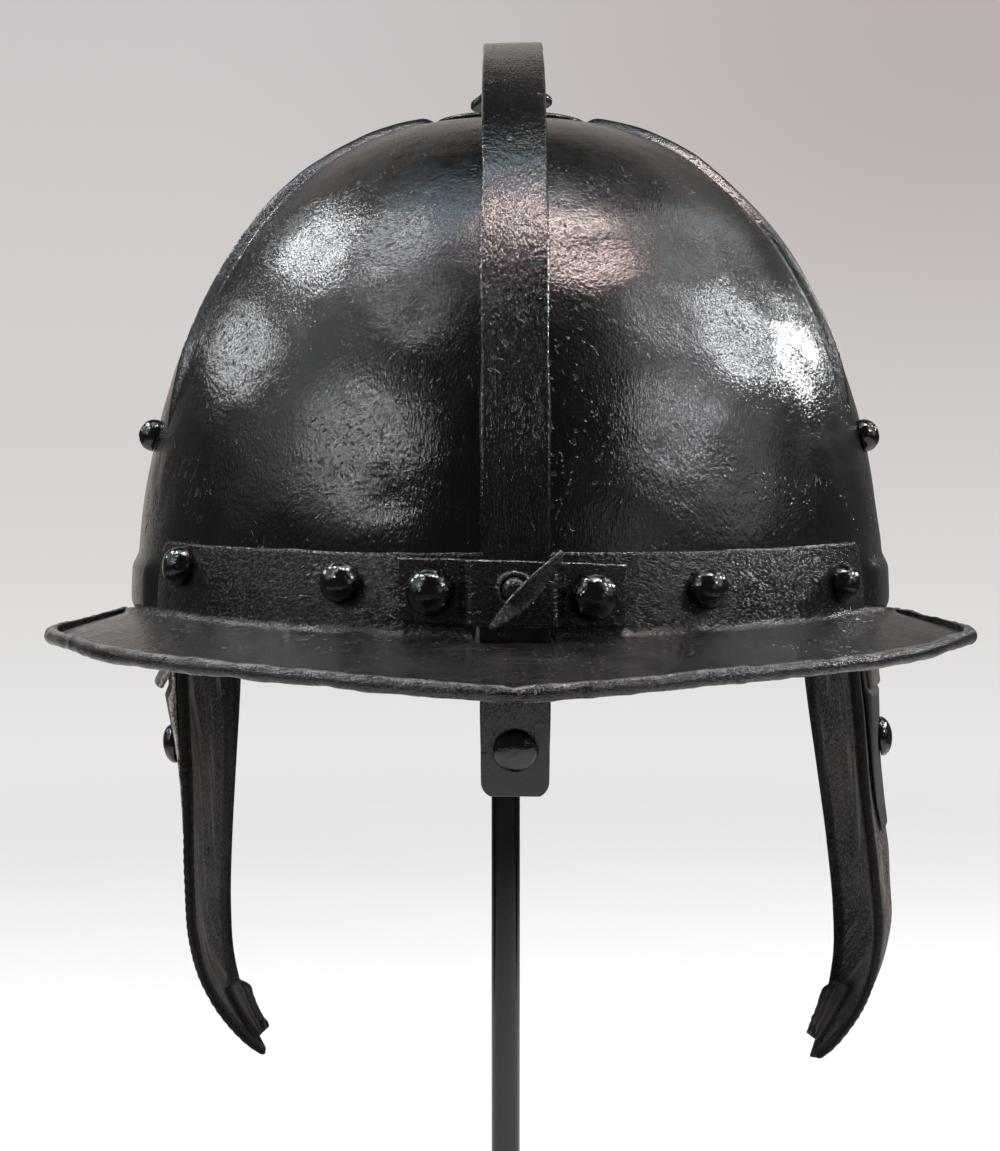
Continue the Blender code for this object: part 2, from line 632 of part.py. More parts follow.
def build_cheekpiece(side):
    """Leaf-shaped side plate with its rivet head and turned lip."""
    outer = cheek_surface(side, CHEEK_THICK / 2.0)
    inner = cheek_surface(side, -CHEEK_THICK / 2.0)
    add_mesh("cheekpiece_" + side, *sheet(outer, inner), ((0.035, 0.03, 0.028), 0.4, 0.5))
    y, height, radius, tall = CHEEK_RIVET
    point, normal = nearest_on_cheek(side, y, height)
    add_dome("cheek_rivet_" + side, point + normal * 0.0002, normal, radius, tall)
    face = cheek_surface(side, -CHEEK_THICK / 2.0 - GAP)
    deep = cheek_surface(side, -CHEEK_THICK / 2.0 - GAP - 0.0044)
    add_mesh("chin_tab_" + side, *sheet(face[8:11, 4:7], deep[8:11, 4:7]), ((0.025, 0.024, 0.025), 0.5, 0.5))


def build_strap(side):
    """Leather hanger from the side rivet, inside the skull, to the cheekpiece."""
    sign = -1.0 if side == "left" else 1.0
    top_y, low_y, half = -0.0150, -0.0080, 0.0095
    heights = (0.0560, 0.0440, 0.0300, 0.0160, 0.0020, -0.0080, -0.0150, -0.0190, -0.0220)
    thick = 0.0018
    outer = []
    inner = []
    for height in heights:
        share = (0.0560 - height) / 0.081
        y_mid = top_y + (low_y - top_y) * share
        out_row = []
        in_row = []
        for across in (-half, half):
            y = y_mid + across
            if height >= 0.0:
                wall = float(crown_radius(height)) * SKULL_HALF_WIDTH
                depth = math.sqrt(1.0 - (y / (SKULL_HALF_LENGTH * 0.985)) ** 2)
                x = wall * depth - WALL - 0.0014
            else:
                x = 0.0
            out_row.append([x, y, height])
            in_row.append([x - thick, y, height])
        outer.append(out_row)
        inner.append(in_row)
    outer = np.array(outer)
    inner = np.array(inner)
    for i, height in enumerate(heights):
        if height < -0.004:
            for j in range(2):
                point, _ = nearest_on_cheek(side, outer[i, j, 1], height)
                inner[i, j, 0] = abs(point[0]) + 0.0009
                outer[i, j, 0] = inner[i, j, 0] + thick
    for i, lift in ((len(heights) - 2, 0.0005), (len(heights) - 1, 0.0018)):
        inner[i, :, 0] += lift
        outer[i, :, 0] += lift * 0.9
    outer[..., 0] *= sign
    inner[..., 0] *= sign
    outer[..., 2] += RIM_Z
    inner[..., 2] += RIM_Z
    add_mesh("cheek_strap_" + side, *sheet(outer, inner), ((0.06, 0.045, 0.035), 0.0, 0.7))


def tail_point(turn, share, lift):
    """Point on the tail's flare: turn in degrees from straight back, share of its reach."""
    rad = np.radians(turn)
    reach = TAIL_SIDE_LENGTH + (TAIL_LENGTH - TAIL_SIDE_LENGTH) * np.cos(rad * 90.0 / 76.0) ** 2
    run = reach * share
    slope = math.radians(TAIL_SLOPE)
    dx = 0.55 * np.sin(rad)
    dy = np.cos(rad) + 0.12
    size = np.hypot(dx, dy)
    dx = dx / size
    dy = dy / size
    x = (SKULL_HALF_WIDTH - 0.0034) * np.sin(rad) + run * math.cos(slope) * dx
    y = (SKULL_HALF_LENGTH - 0.0034) * np.cos(rad) + run * math.cos(slope) * dy
    z = -0.0030 - run * math.sin(slope)
    x = x + lift * math.sin(slope) * dx
    y = y + lift * math.sin(slope) * dy
    z = z + lift * math.cos(slope)
    return np.stack([x, y, z + RIM_Z], axis=-1)


def build_lame(number):
    """One lame of the tail, its top edge tucked under the one above."""
    half = TAIL_HALF_ANGLES[number]
    turns = np.linspace(-half, half, 23 - 2 * number)
    start = TAIL_CUTS[number]
    end = TAIL_CUTS[number + 1]
    lap = 0.2 * (end - start) if number else 0.0
    shares = np.linspace(start - lap, end, 4)
    lifts = np.linspace(-TAIL_STEP, 0.0, 4)
    if number == 0:
        lifts = np.array([-0.0006, -0.0004, -0.0002, 0.0])
    outer = [tail_point(turns, s, f) for s, f in zip(shares, lifts)]
    inner = [tail_point(turns, s, f - TAIL_THICK) for s, f in zip(shares, lifts)]
    if number == 0:
        for rise in (0.0, 0.0085):
            angles = 180.0 - turns
            out = skull_point(angles, rise, -WALL - 0.0009)[0]
            ins = skull_point(angles, rise, -WALL - 0.0009 - TAIL_THICK)[0]
            outer.insert(0, out)
            inner.insert(0, ins)
    name = "tail_lame_%d" % (number + 1)
    add_mesh(name, *sheet(np.array(outer), np.array(inner)), ((0.02, 0.021, 0.024), 0.6, 0.35))


def build_tail_rivets():
    """Small heads where each lame laps the next, and where the tail meets the skull."""
    for number in range(3):
        turn = TAIL_HALF_ANGLES[number + 1] - 7.0
        share = TAIL_CUTS[number + 1] - 0.1 * (TAIL_CUTS[number + 2] - TAIL_CUTS[number + 1])
        share -= 0.012
        for side, sign in (("left", -1.0), ("right", 1.0)):
            point = tail_point(np.array(sign * turn), share, 0.0003)
            over = tail_point(np.array(sign * turn), share, 0.0013)
            normal = (over - point) / np.linalg.norm(over - point)
            add_dome("tail_rivet_%d_%s" % (number + 1, side), point, normal, 0.0032, 0.0022)
    for side, sign in (("left", -1.0), ("right", 1.0)):
        point, normal = skull_point(sign * 118.0, 0.0075, HEM_DEPTH)
        add_dome("tail_rivet_0_" + side, point, normal, 0.0034, 0.0024)


def build_stand():
    """Plain rod on a round base, with a shallow pad under the crown."""
    top = RIM_Z + float(crown_height(PAD_R / SKULL_HALF_WIDTH)) - WALL - 0.0026
    crown = RIM_Z + SKULL_HEIGHT - WALL - 0.0016
    pad = [(0.0, top - 0.006), (PAD_R * 0.86, top - 0.006), (PAD_R, top - 0.002), (PAD_R, top)]
    for share in (0.82, 0.62, 0.38):
        radius = PAD_R * share
        pad.append((radius, RIM_Z + float(crown_height(radius / SKULL_HALF_WIDTH)) - WALL - 0.0018))
    pad.append((0.0, crown))
    verts, faces = lathe(pad, (0.0, 0.0, 0.0), (0.0, 0.0, 1.0), 24)
    add_mesh("stand_pad", verts, faces, ((0.02, 0.02, 0.02), 0.0, 0.8))
    rod = [(ROD_R, BASE_H + GAP), (ROD_R, top - 0.006 - GAP)]
    verts, faces = lathe(rod, (0.0, 0.0, 0.0), (0.0, 0.0, 1.0), 20)
    add_mesh("stand_rod", verts, faces, ((0.02, 0.02, 0.022), 0.3, 0.3))
    base = [(BASE_R - 0.0008, 0.0), (BASE_R, 0.0008), (BASE_R, BASE_H - 0.0022), (BASE_R - 0.0022, BASE_H)]
    verts, faces = lathe(base, (0.0, 0.0, 0.0), (0.0, 0.0, 1.0), 56)
    add_mesh("stand_base", verts, faces, ((0.02, 0.02, 0.022), 0.3, 0.4))


def add_pivot(name, location):
    """Empty that marks a moving body's axis."""
    pivot = bpy.data.objects.new(name, None)
    pivot.location = location
    bpy.context.scene.collection.objects.link(pivot)
    return pivot


def main():
    """Build every piece."""
    clear_scene()
    build_skull()
    build_rosette()
    build_peak()
    bar_pivot = add_pivot("nasal", (0.0, BAR_CENTRE_Y, RIM_Z + BAR_CENTRE_Z))
    build_nasal_bar(bar_pivot)
    build_knob(bar_pivot)
    build_staple()
    screw_face = BAR_CENTRE_Y - BAR_RADIUS - GAP - STAPLE_THICK
    screw_axis = add_pivot("screw", (SCREW_X, screw_face, RIM_Z + SCREW_Z))
    build_wing_screw(screw_axis)
    build_fixed_rivets()
    for side in ("left", "right"):
        build_cheekpiece(side)
        build_strap(side)
    for number in range(4):
        build_lame(number)
    build_tail_rivets()
    build_stand()


main()
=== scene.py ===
"""Looks of a lobster-tail pot helmet on its rod stand.

Every surface is worked out with whole numpy arrays in metres, +Z up, the helmet facing -Y,
and each finished piece stays at the origin, unturned and unscaled. Heights called ``rise``
are above the helmet's rim line. Angles round the bowl are in degrees from the front.
"""
import logging
import math
from collections.abc import Mapping
from dataclasses import dataclass, field
from enum import Enum

import bpy
import numpy as np
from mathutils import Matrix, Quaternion, Vector


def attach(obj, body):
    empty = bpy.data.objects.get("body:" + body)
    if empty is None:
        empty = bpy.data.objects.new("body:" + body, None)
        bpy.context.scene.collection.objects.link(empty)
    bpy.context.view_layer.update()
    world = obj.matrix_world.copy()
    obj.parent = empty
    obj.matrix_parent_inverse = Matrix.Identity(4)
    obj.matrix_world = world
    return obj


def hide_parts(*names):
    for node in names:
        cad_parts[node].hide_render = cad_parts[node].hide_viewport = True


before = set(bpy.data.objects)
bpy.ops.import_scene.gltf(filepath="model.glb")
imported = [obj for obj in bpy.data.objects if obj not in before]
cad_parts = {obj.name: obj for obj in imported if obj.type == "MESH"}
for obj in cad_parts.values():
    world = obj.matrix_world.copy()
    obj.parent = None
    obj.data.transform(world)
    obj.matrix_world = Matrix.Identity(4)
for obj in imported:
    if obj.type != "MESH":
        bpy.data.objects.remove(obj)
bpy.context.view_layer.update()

LOG = logging.getLogger("helmet")
Array = np.ndarray
Number = Array | float
Socket = bpy.types.NodeSocket
Sockets = Mapping[str, Socket]
Value = Socket | float
Colour = tuple[float, float, float, float]
UP = np.array([0.0, 0.0, 1.0])


class Side(Enum):
    """The side of the helmet seen on the left or right by someone facing it."""

    LEFT = -1.0
    RIGHT = 1.0


class Slot(Enum):
    """Material slots, one for each finish."""

    SKULL = "skull_iron"
    PEAK = "peak_iron"
    BAR = "bar_iron"
    STAPLE = "staple_iron"
    RIVET = "rivet_iron"
    CHEEK = "cheek_iron"
    TAIL = "tail_iron"
    STRAP = "strap_leather"
    STAND = "stand_steel"
    PAD = "pad_felt"


# ---------------------------------------------------------------- number helpers


def ramp(low: float, high: float, value: Number) -> Array:
    """Rise smoothly from 0 at low to 1 at high.

    Args:
        low: value that gives 0.
        high: value that gives 1; it may be the smaller of the two.
        value: what is mapped.

    Returns:
        Three t squared minus two t cubed, t being the clamped share of the way.
    """
    share = np.clip((np.asarray(value, dtype=float) - low) / (high - low), 0.0, 1.0)
    return share * share * (3.0 - 2.0 * share)


def bell(value: Number, centre: float, width: float) -> Array:
    """Gaussian bell of height 1.

    Args:
        value: where it is read.
        centre: where it peaks.
        width: distance at which it has dropped to 1/e.

    Returns:
        exp(-((value - centre) / width) squared).
    """
    return np.exp(-(((np.asarray(value, dtype=float) - centre) / width) ** 2))


def curve(where: Number, knots: Array, values: Array) -> Array:
    """Smooth curve through named stations.

    Args:
        where: places to read it at.
        knots: rising places of the stations.
        values: one value for each station.

    Returns:
        Cubic Hermite interpolation with slopes from neighbouring stations.
    """
    knots = np.asarray(knots, dtype=float)
    values = np.asarray(values, dtype=float)
    slope = np.gradient(values, knots)
    at = np.clip(np.asarray(where, dtype=float), knots[0], knots[-1])
    k = np.clip(np.searchsorted(knots, at, side="right") - 1, 0, len(knots) - 2)
    step = knots[k + 1] - knots[k]
    t = (at - knots[k]) / step
    return ((1 + 2 * t) * (1 - t) ** 2 * values[k] + t * (1 - t) ** 2 * step * slope[k]
            + t * t * (3 - 2 * t) * values[k + 1] + t * t * (t - 1) * step * slope[k + 1])


def edged(count: int, length: float, bevel: float) -> Array:
    """Shares from 0 to 1 that bunch up near both ends, for rounded edges.

    Args:
        count: evenly spaced shares between the two bevels.
        length: real length of the line.
        bevel: real width of each rounded edge.

    Returns:
        Rising shares, with five extra ones inside each bevel.
    """
    near = np.array([0.0, 0.05, 0.18, 0.4, 0.7]) * bevel / length
    middle = np.linspace(bevel / length, 1.0 - bevel / length, count)
    return np.concatenate([near, middle, 1.0 - near[::-1]])


def unit(vectors: Array) -> Array:
    """Scale vectors along the last axis to length 1."""
    return vectors / np.maximum(np.linalg.norm(vectors, axis=-1, keepdims=True), 1e-12)


def xyz(x: Number, y: Number, z: Number) -> Array:
    """Points from their coordinates, which may have different shapes that fit each other."""
    return np.stack(np.broadcast_arrays(x, y, z), axis=-1)


def inset(over: Array, down: Array, wide: Number, high: float) -> Array:
    """Distance to the nearest edge of a plate.

    Args:
        over: share of the way across.
        down: share of the way along.
        wide: the plate's width.
        high: the plate's length.

    Returns:
        The smaller of the distances to the nearest side and to the nearest end.
    """
    return np.minimum(np.minimum(over, 1.0 - over) * wide, np.minimum(down, 1.0 - down) * high)


class Noise:
    """Value noise on points in space, from one seed."""

    def __init__(self, seed: int) -> None:
        self.table = np.random.default_rng(seed).random(4096)

    def value(self, points: Array, size: float) -> Array:
        """Noise between -1 and 1.

        Args:
            points: array whose last axis is x, y, z.
            size: distance over which it changes.

        Returns:
            Lattice values blended with a smooth cubic weight along each axis.
        """
        scaled = np.asarray(points, dtype=float) / size + 100.0
        cell = np.floor(scaled).astype(np.int64)
        part = scaled - cell
        part = part * part * (3.0 - 2.0 * part)
        total = np.zeros(scaled.shape[:-1])
        for corner in range(8):
            offset = np.array([corner & 1, (corner >> 1) & 1, corner >> 2])
            weight = np.prod(np.where(offset == 1, part, 1.0 - part), axis=-1)
            spot = cell + offset
            key = (spot[..., 0] * 73856093) ^ (spot[..., 1] * 19349663) ^ (spot[..., 2] * 83492791)
            total += weight * self.table[np.abs(key) % 4096]
        return total * 2.0 - 1.0

    def layered(self, points: Array, size: float, layers: int = 3) -> Array:
        """Sum of noises, each half the size and half the strength of the last."""
        total = np.zeros(np.asarray(points).shape[:-1])
        for k in range(layers):
            total += self.value(points, size / 2**k) * 0.5**k
        return total


# ---------------------------------------------------------------- meshes


@dataclass
class Surface:
    """A closed mesh in the making.

    Attributes:
        points: vertex positions, one row each.
        polygons: arrays of vertex numbers, each array of one polygon size.
        worn: how rubbed each vertex is, 0 to 1, or, 0 to -1, how far it is darkened toward the shaded colour:
            painted shade, and the cheekpieces' dark borders.
        grain: the vertex's place along the metal's own directions, in metres.
    """

    points: Array
    polygons: list[Array]
    worn: Array
    grain: Array

    def volume(self) -> float:
        """Six times the enclosed volume, below zero where the faces point inward."""
        total = 0.0
        for group in self.polygons:
            first = self.points[group[:, 0]]
            for k in range(1, group.shape[1] - 1):
                second = self.points[group[:, k]]
                third = self.points[group[:, k + 1]]
                total += float(np.einsum("ij,ij->", first, np.cross(second, third)))
        return total

    def joined(self, other: "Surface") -> "Surface":
        """This mesh and another one as a single mesh."""
        shift = len(self.points)
        moved = [group + shift for group in other.polygons]
        return Surface(
            np.concatenate([self.points, other.points]), self.polygons + moved,
            np.concatenate([self.worn, other.worn]), np.concatenate([self.grain, other.grain]))

    def build(self, name: str) -> bpy.types.Object:
        """Make the Blender object, smooth shaded, its faces outward.

        Args:
            name: the object's name.

        Returns:
            The linked object, carrying its worn and grain attributes.
        """
        sizes = np.concatenate([np.full(len(g), g.shape[1], dtype=np.int32) for g in self.polygons])
        loops = np.concatenate([g.ravel() for g in self.polygons]).astype(np.int32)
        mesh = bpy.data.meshes.new(name)
        mesh.vertices.add(len(self.points))
        mesh.vertices.foreach_set("co", self.points.astype(np.float32).ravel())
        mesh.loops.add(len(loops))
        mesh.loops.foreach_set("vertex_index", loops)
        mesh.polygons.add(len(sizes))
        mesh.polygons.foreach_set("loop_start", (np.cumsum(sizes) - sizes).astype(np.int32))
        mesh.polygons.foreach_set("use_smooth", np.ones(len(sizes), dtype=bool))
        mesh.update(calc_edges=True)
        worn = mesh.attributes.new("worn", "FLOAT", "POINT")
        worn.data.foreach_set("value", np.clip(self.worn, -1.0, 1.0).astype(np.float32))
        grain = mesh.attributes.new("grain", "FLOAT_VECTOR", "POINT")
        grain.data.foreach_set("vector", self.grain.astype(np.float32).ravel())
        if self.volume() < 0.0:
            mesh.flip_normals()
        obj = bpy.data.objects.new(name, mesh)
        bpy.context.scene.collection.objects.link(obj)
        return obj


def quads(ids: Array, wrap: bool = False) -> Array:
    """Quads of a grid of vertex numbers.

    Args:
        ids: vertex numbers by row and column.
        wrap: whether the last column meets the first.

    Returns:
        One row of four vertex numbers for each quad.
    """
    right = np.roll(ids, -1, axis=1) if wrap else ids[:, 1:]
    left = ids if wrap else ids[:, :-1]
    return np.stack([left[:-1], right[:-1], right[1:], left[1:]], axis=-1).reshape(-1, 4)


def plate(mid: Array, normal: Array, half: Array, worn: Array, grain: Array) -> Surface:
    """Solid plate about a middle surface.

    Args:
        mid: grid of points on the middle surface.
        normal: unit normals at those points.
        half: half-thickness at each point; its border counts as 0.
        worn: how rubbed the points are, for the grid or for one row or column of it.
        grain: place of each point along the metal.

    Returns:
        A closed mesh: mid plus and minus the normal times half, joined at the border.
    """
    rows, cols = mid.shape[:2]
    worn = np.broadcast_to(worn, (rows, cols))
    inside = np.zeros((rows, cols), dtype=bool)
    inside[1:-1, 1:-1] = True
    lift = np.where(inside, half, 0.0)[..., None]
    outer = np.arange(rows * cols).reshape(rows, cols)
    inner = outer.copy()
    inner[inside] = rows * cols + np.arange(int(inside.sum()))
    points = np.concatenate([(mid + normal * lift).reshape(-1, 3), (mid - normal * lift)[inside]])
    return Surface(points, [quads(outer), quads(inner)[:, ::-1]],
                   np.concatenate([worn.ravel(), worn[inside]]),
                   np.concatenate([grain.reshape(-1, 3), grain[inside] + 0.37]))


def round_edge(distance: Array, thickness: float, bevel: float) -> Array:
    """Half-thickness of a plate at a distance from its nearest edge.

    Args:
        distance: distance to the nearest edge.
        thickness: the plate's full thickness.
        bevel: width of the rounded edge.

    Returns:
        Half the thickness times the height of a quarter ellipse over the bevel.
    """
    share = np.clip(distance / bevel, 0.0, 1.0)
    return 0.5 * thickness * np.sqrt(np.clip(1.0 - (1.0 - share) ** 2, 0.0, 1.0))


def grid_normals(mid: Array, outward: Array) -> Array:
    """Unit normals of a grid, turned to one side.

    Args:
        mid: grid of points.
        outward: a direction that every normal should agree with.

    Returns:
        Normalised cross products of the grid's two gradients.
    """
    normal = unit(np.cross(np.gradient(mid, axis=1), np.gradient(mid, axis=0)))
    turn = np.sign(np.sum(normal * outward, axis=-1, keepdims=True))
    return normal * np.where(turn == 0.0, 1.0, turn)


def tube(rings: Array, start: Array | None, end: Array | None, worn: Array, grain: Array) -> Surface:
    """Closed mesh through rings of points.

    Args:
        rings: points by ring and by place round the ring.
        start: pole that closes the first ring, or None for one flat face.
        end: pole that closes the last ring, or None for one flat face.
        worn: how rubbed the points are, or each ring as a whole.
        grain: place of each point along the metal.

    Returns:
        The rings joined by quads, closed at both ends.
    """
    count, around, _ = rings.shape
    worn = np.broadcast_to(worn, (count, around))
    ids = np.arange(count * around).reshape(count, around)
    points = [rings.reshape(-1, 3)]
    rubs = [worn.ravel()]
    places = [grain.reshape(-1, 3)]
    polygons = [quads(ids, wrap=True)]
    total = count * around
    for pole, ring, flip, row in ((start, ids[0], -1, 0), (end, ids[-1], 1, -1)):
        if pole is None:
            polygons.append(ring[None, ::flip])
            continue
        points.append(np.asarray(pole, dtype=float)[None, :])
        rubs.append(np.array([worn[row].mean()]))
        places.append(grain[row].mean(axis=0)[None, :])
        fan = np.stack([ring, np.roll(ring, -1), np.full(around, total)], axis=-1)
        polygons.append(fan[:, ::flip])
        total += 1
    return Surface(np.concatenate(points), polygons, np.concatenate(rubs), np.concatenate(places))


def turned(profile: Array, origin: Array, axis: Array, around: int, dent: float, seed: int,
           worn: Array) -> Surface:
    """Surface of revolution with slight hammer marks.

    Args:
        profile: rows of radius and height; both ends lie on the axis.
        origin: where height 0 lies.
        axis: direction of rising height.
        around: points in each ring.
        dent: depth of the hammer marks.
        seed: noise seed of the marks.
        worn: how rubbed each profile row is.

    Returns:
        A closed mesh whose rings are radius times cosine and sine about the axis.
    """
    axis = unit(np.asarray(axis, dtype=float))
    helper = UP if abs(axis[2]) < 0.9 else np.array([1.0, 0.0, 0.0])
    first = unit(np.cross(axis, helper))
    second = np.cross(axis, first)
    angle = np.linspace(0.0, 2.0 * math.pi, around, endpoint=False)
    spoke = first * np.cos(angle)[:, None] + second * np.sin(angle)[:, None]
    rings = origin + profile[1:-1, None, :1] * spoke + profile[1:-1, None, 1:] * axis
    size = float(profile[:, 0].max())
    marks = Noise(seed).layered(rings, size * 0.62, 3) * dent
    rings = rings + unit(rings - (origin + axis * profile[:, 1].mean())) * marks[..., None]
    start, end = origin + axis * profile[0, 1], origin + axis * profile[-1, 1]
    return tube(rings, start, end, worn[1:-1, None], rings)


def cut_or_join(obj: bpy.types.Object, tool: bpy.types.Object, operation: str) -> None:
    """Apply an exact Boolean to an object's mesh and remove the tool.

    Args:
        obj: the piece.
        tool: the mesh that cuts it or joins it.
        operation: DIFFERENCE or UNION.
    """
    mod = obj.modifiers.new("work", "BOOLEAN")
    mod.operation = operation
    mod.solver = "EXACT"
    mod.object = tool
    graph = bpy.context.evaluated_depsgraph_get()
    result = bpy.data.meshes.new_from_object(obj.evaluated_get(graph))
    obj.modifiers.remove(mod)
    obj.data = result
    bpy.data.objects.remove(tool)


# ---------------------------------------------------------------- shader graph


class Graph:
    """Adds nodes to one tree and joins them."""

    def __init__(self, tree: bpy.types.NodeTree) -> None:
        self.tree = tree

    @classmethod
    def fresh(cls, owner: bpy.types.Material | bpy.types.World) -> "Graph":
        """Turn on a material's or world's nodes, remove them all and return a graph."""
        owner.use_nodes = True
        owner.node_tree.nodes.clear()
        return cls(owner.node_tree)

    def add(self, kind: str, inputs: dict | None = None, **settings) -> bpy.types.Node:
        """Add a node.

        Args:
            kind: Blender's node type.
            inputs: constants or sockets for the node's inputs, by name or number.
            **settings: the node's own properties.

        Returns:
            The new node.
        """
        node = self.tree.nodes.new(kind)
        for key, value in settings.items():
            setattr(node, key, value)
        for key, value in (inputs or {}).items():
            if isinstance(value, Socket):
                self.link(value, node.inputs[key])
            else:
                node.inputs[key].default_value = value
        return node

    def math(self, operation: str, first: Value, second: Value = 0.0, third: Value = 0.0,
             clamp: bool = False) -> Socket:
        """Add a Math node and return its value."""
        values = {0: first, 1: second, 2: third}
        return self.add("ShaderNodeMath", values, operation=operation, use_clamp=clamp).outputs[0]

    def times(self, first: Value, second: Value) -> Socket:
        """Multiply two values."""
        return self.math("MULTIPLY", first, second)

    def plus(self, first: Value, second: Value) -> Socket:
        """Add two values."""
        return self.math("ADD", first, second)

    def link(self, source: Socket, target: Socket) -> None:
        """Lead a node's output to an input."""
        self.tree.links.new(source, target)

    def span(self, value: Socket, low: float, high: float, start: float = 0.0, end: float = 1.0) -> Socket:
        """Map low..high smoothly to start..end."""
        node = self.add("ShaderNodeMapRange", {"Value": value, "From Min": low, "From Max": high,
                                               "To Min": start, "To Max": end},
                        interpolation_type="SMOOTHSTEP")
        return node.outputs["Result"]

    def blend(self, factor: Value, first: Socket | Colour, second: Socket | Colour) -> Socket:
        """Mix two colours."""
        node = self.add("ShaderNodeMix", {0: factor, 6: first, 7: second}, data_type="RGBA")
        return node.outputs[2]

    def noise(self, vector: Socket, scale: float, detail: float = 3.0, rough: float = 0.55) -> Socket:
        """Add a noise texture and return its factor."""
        node = self.add("ShaderNodeTexNoise", {"Vector": vector, "Scale": scale, "Detail": detail,
                                               "Roughness": rough})
        return node.outputs["Fac"]

    def stretch(self, vector: Socket, scale: tuple[float, float, float]) -> Socket:
        """Scale a vector's three parts."""
        return self.add("ShaderNodeMapping", {"Vector": vector, "Scale": scale}).outputs[0]


class Effects:
    """Shader node groups shared by the finishes."""

    def __init__(self) -> None:
        self.relief = self._relief()
        self.wear = self._wear()
        self.dust = self._dust()
        self.mottle = self._mottle()

    @staticmethod
    def _group(name: str, inputs: dict[str, tuple[str, float]],
               outputs: dict[str, str]) -> tuple[Graph, Sockets, Sockets]:
        """New node group.

        Args:
            name: the group's name.
            inputs: kind and default of each input socket.
            outputs: kind of each output socket.

        Returns:
            A graph on the group, what the group is given and what it puts out.
        """
        tree = bpy.data.node_groups.new(name, "ShaderNodeTree")
        for label, (kind, value) in inputs.items():
            socket = tree.interface.new_socket(name=label, in_out="INPUT", socket_type="NodeSocket" + kind)
            if kind == "Float":
                socket.default_value = value
        for label, kind in outputs.items():
            tree.interface.new_socket(name=label, in_out="OUTPUT", socket_type="NodeSocket" + kind)
        graph = Graph(tree)
        return graph, graph.add("NodeGroupInput").outputs, graph.add("NodeGroupOutput").inputs

    def _relief(self) -> bpy.types.NodeTree:
        """Height of a forged skin: soft peel, lengthwise brush marks and sparse pits."""
        g, given, out = self._group(
            "Forged relief",
            {"Vector": ("Vector", 0.0), "Grain": ("Vector", 0.0), "Peel": ("Float", 1.0),
             "Brush": ("Float", 0.5), "Pits": ("Float", 0.5)},
            {"Height": "Float", "Pit": "Float"})
        bend = g.add("ShaderNodeTexNoise", {"Vector": given["Vector"], "Scale": 42.0, "Detail": 1.0})
        swirl = g.add("ShaderNodeVectorMath", {0: bend.outputs["Color"], 1: (0.014, 0.014, 0.014),
                                               2: given["Grain"]}, operation="MULTIPLY_ADD").outputs[0]
        fine = g.noise(g.stretch(swirl, (1350.0, 950.0, 1350.0)), 1.0, 2.0, 0.6)
        middle = g.noise(swirl, 640.0, 1.0)
        crease = g.math("ABSOLUTE", g.math("SUBTRACT", middle, 0.5))
        slow = g.math("MULTIPLY_ADD", g.noise(swirl, 340.0, 1.0), 0.42, g.times(crease, 0.42))
        peel = g.math("MULTIPLY_ADD", fine, 0.34, slow)
        short = g.noise(g.stretch(given["Grain"], (2300.0, 420.0, 2300.0)), 1.0, 2.0, 0.6)
        long = g.noise(g.stretch(given["Grain"], (2000.0, 90.0, 2000.0)), 1.0, 2.0, 0.6)
        brush = g.plus(g.times(short, 0.6), g.times(long, 0.4))
        patchy = g.span(g.noise(given["Vector"], 52.0, 3.0, 0.65), 0.46, 0.68, 0.02, 1.0)
        cells = g.stretch(swirl, (520.0, 380.0, 520.0))
        cell = g.add("ShaderNodeTexVoronoi", {"Vector": cells, "Scale": 1.0})
        small = g.span(cell.outputs["Distance"], 0.22, 0.08)
        large = g.span(g.noise(g.stretch(swirl, (620.0, 450.0, 620.0)), 1.0, 0.0), 0.70, 0.75)
        hollow = g.math("MULTIPLY_ADD", small, 0.75, large)
        pit = g.times(g.times(hollow, patchy), given["Pits"])
        height = g.times(g.math("SUBTRACT", peel, 0.4), given["Peel"])
        height = g.plus(height, g.times(g.math("SUBTRACT", brush, 0.5), given["Brush"]))
        height = g.math("SUBTRACT", height, pit)
        g.link(height, out["Height"])
        g.link(pit, out["Pit"])
        return g.tree

    def _wear(self) -> bpy.types.NodeTree:
        """Mask of rubbed edges, broken up by fine and coarse noise."""
        g, given, out = self._group(
            "Edge wear", {"Worn": ("Float", 0.0), "Vector": ("Vector", 0.0), "Amount": ("Float", 0.5)},
            {"Mask": "Float"})
        fine = g.noise(given["Vector"], 1400.0, 3.0, 0.7)
        coarse = g.noise(given["Vector"], 120.0, 2.0)
        broken = g.plus(g.times(fine, 0.75), g.times(coarse, 0.5))
        level = g.times(given["Worn"], given["Amount"])
        mask = g.span(g.plus(level, broken), 0.98, 1.22)
        g.link(g.times(mask, g.span(given["Worn"], 0.02, 0.3)), out["Mask"])
        return g.tree

    def _dust(self) -> bpy.types.NodeTree:
        """Mask of dust lying on faces that look up."""
        g, given, out = self._group(
            "Settled dust", {"Vector": ("Vector", 0.0), "Amount": ("Float", 0.3)}, {"Mask": "Float"})
        facing = g.add("ShaderNodeSeparateXYZ", {0: g.add("ShaderNodeNewGeometry").outputs["Normal"]})
        up = g.span(facing.outputs[2], 0.35, 1.0)
        patch = g.span(g.noise(given["Vector"], 90.0, 4.0, 0.65), 0.35, 0.7)
        mask = g.times(g.times(up, patch), given["Amount"])
        g.link(mask, out["Mask"])
        return g.tree

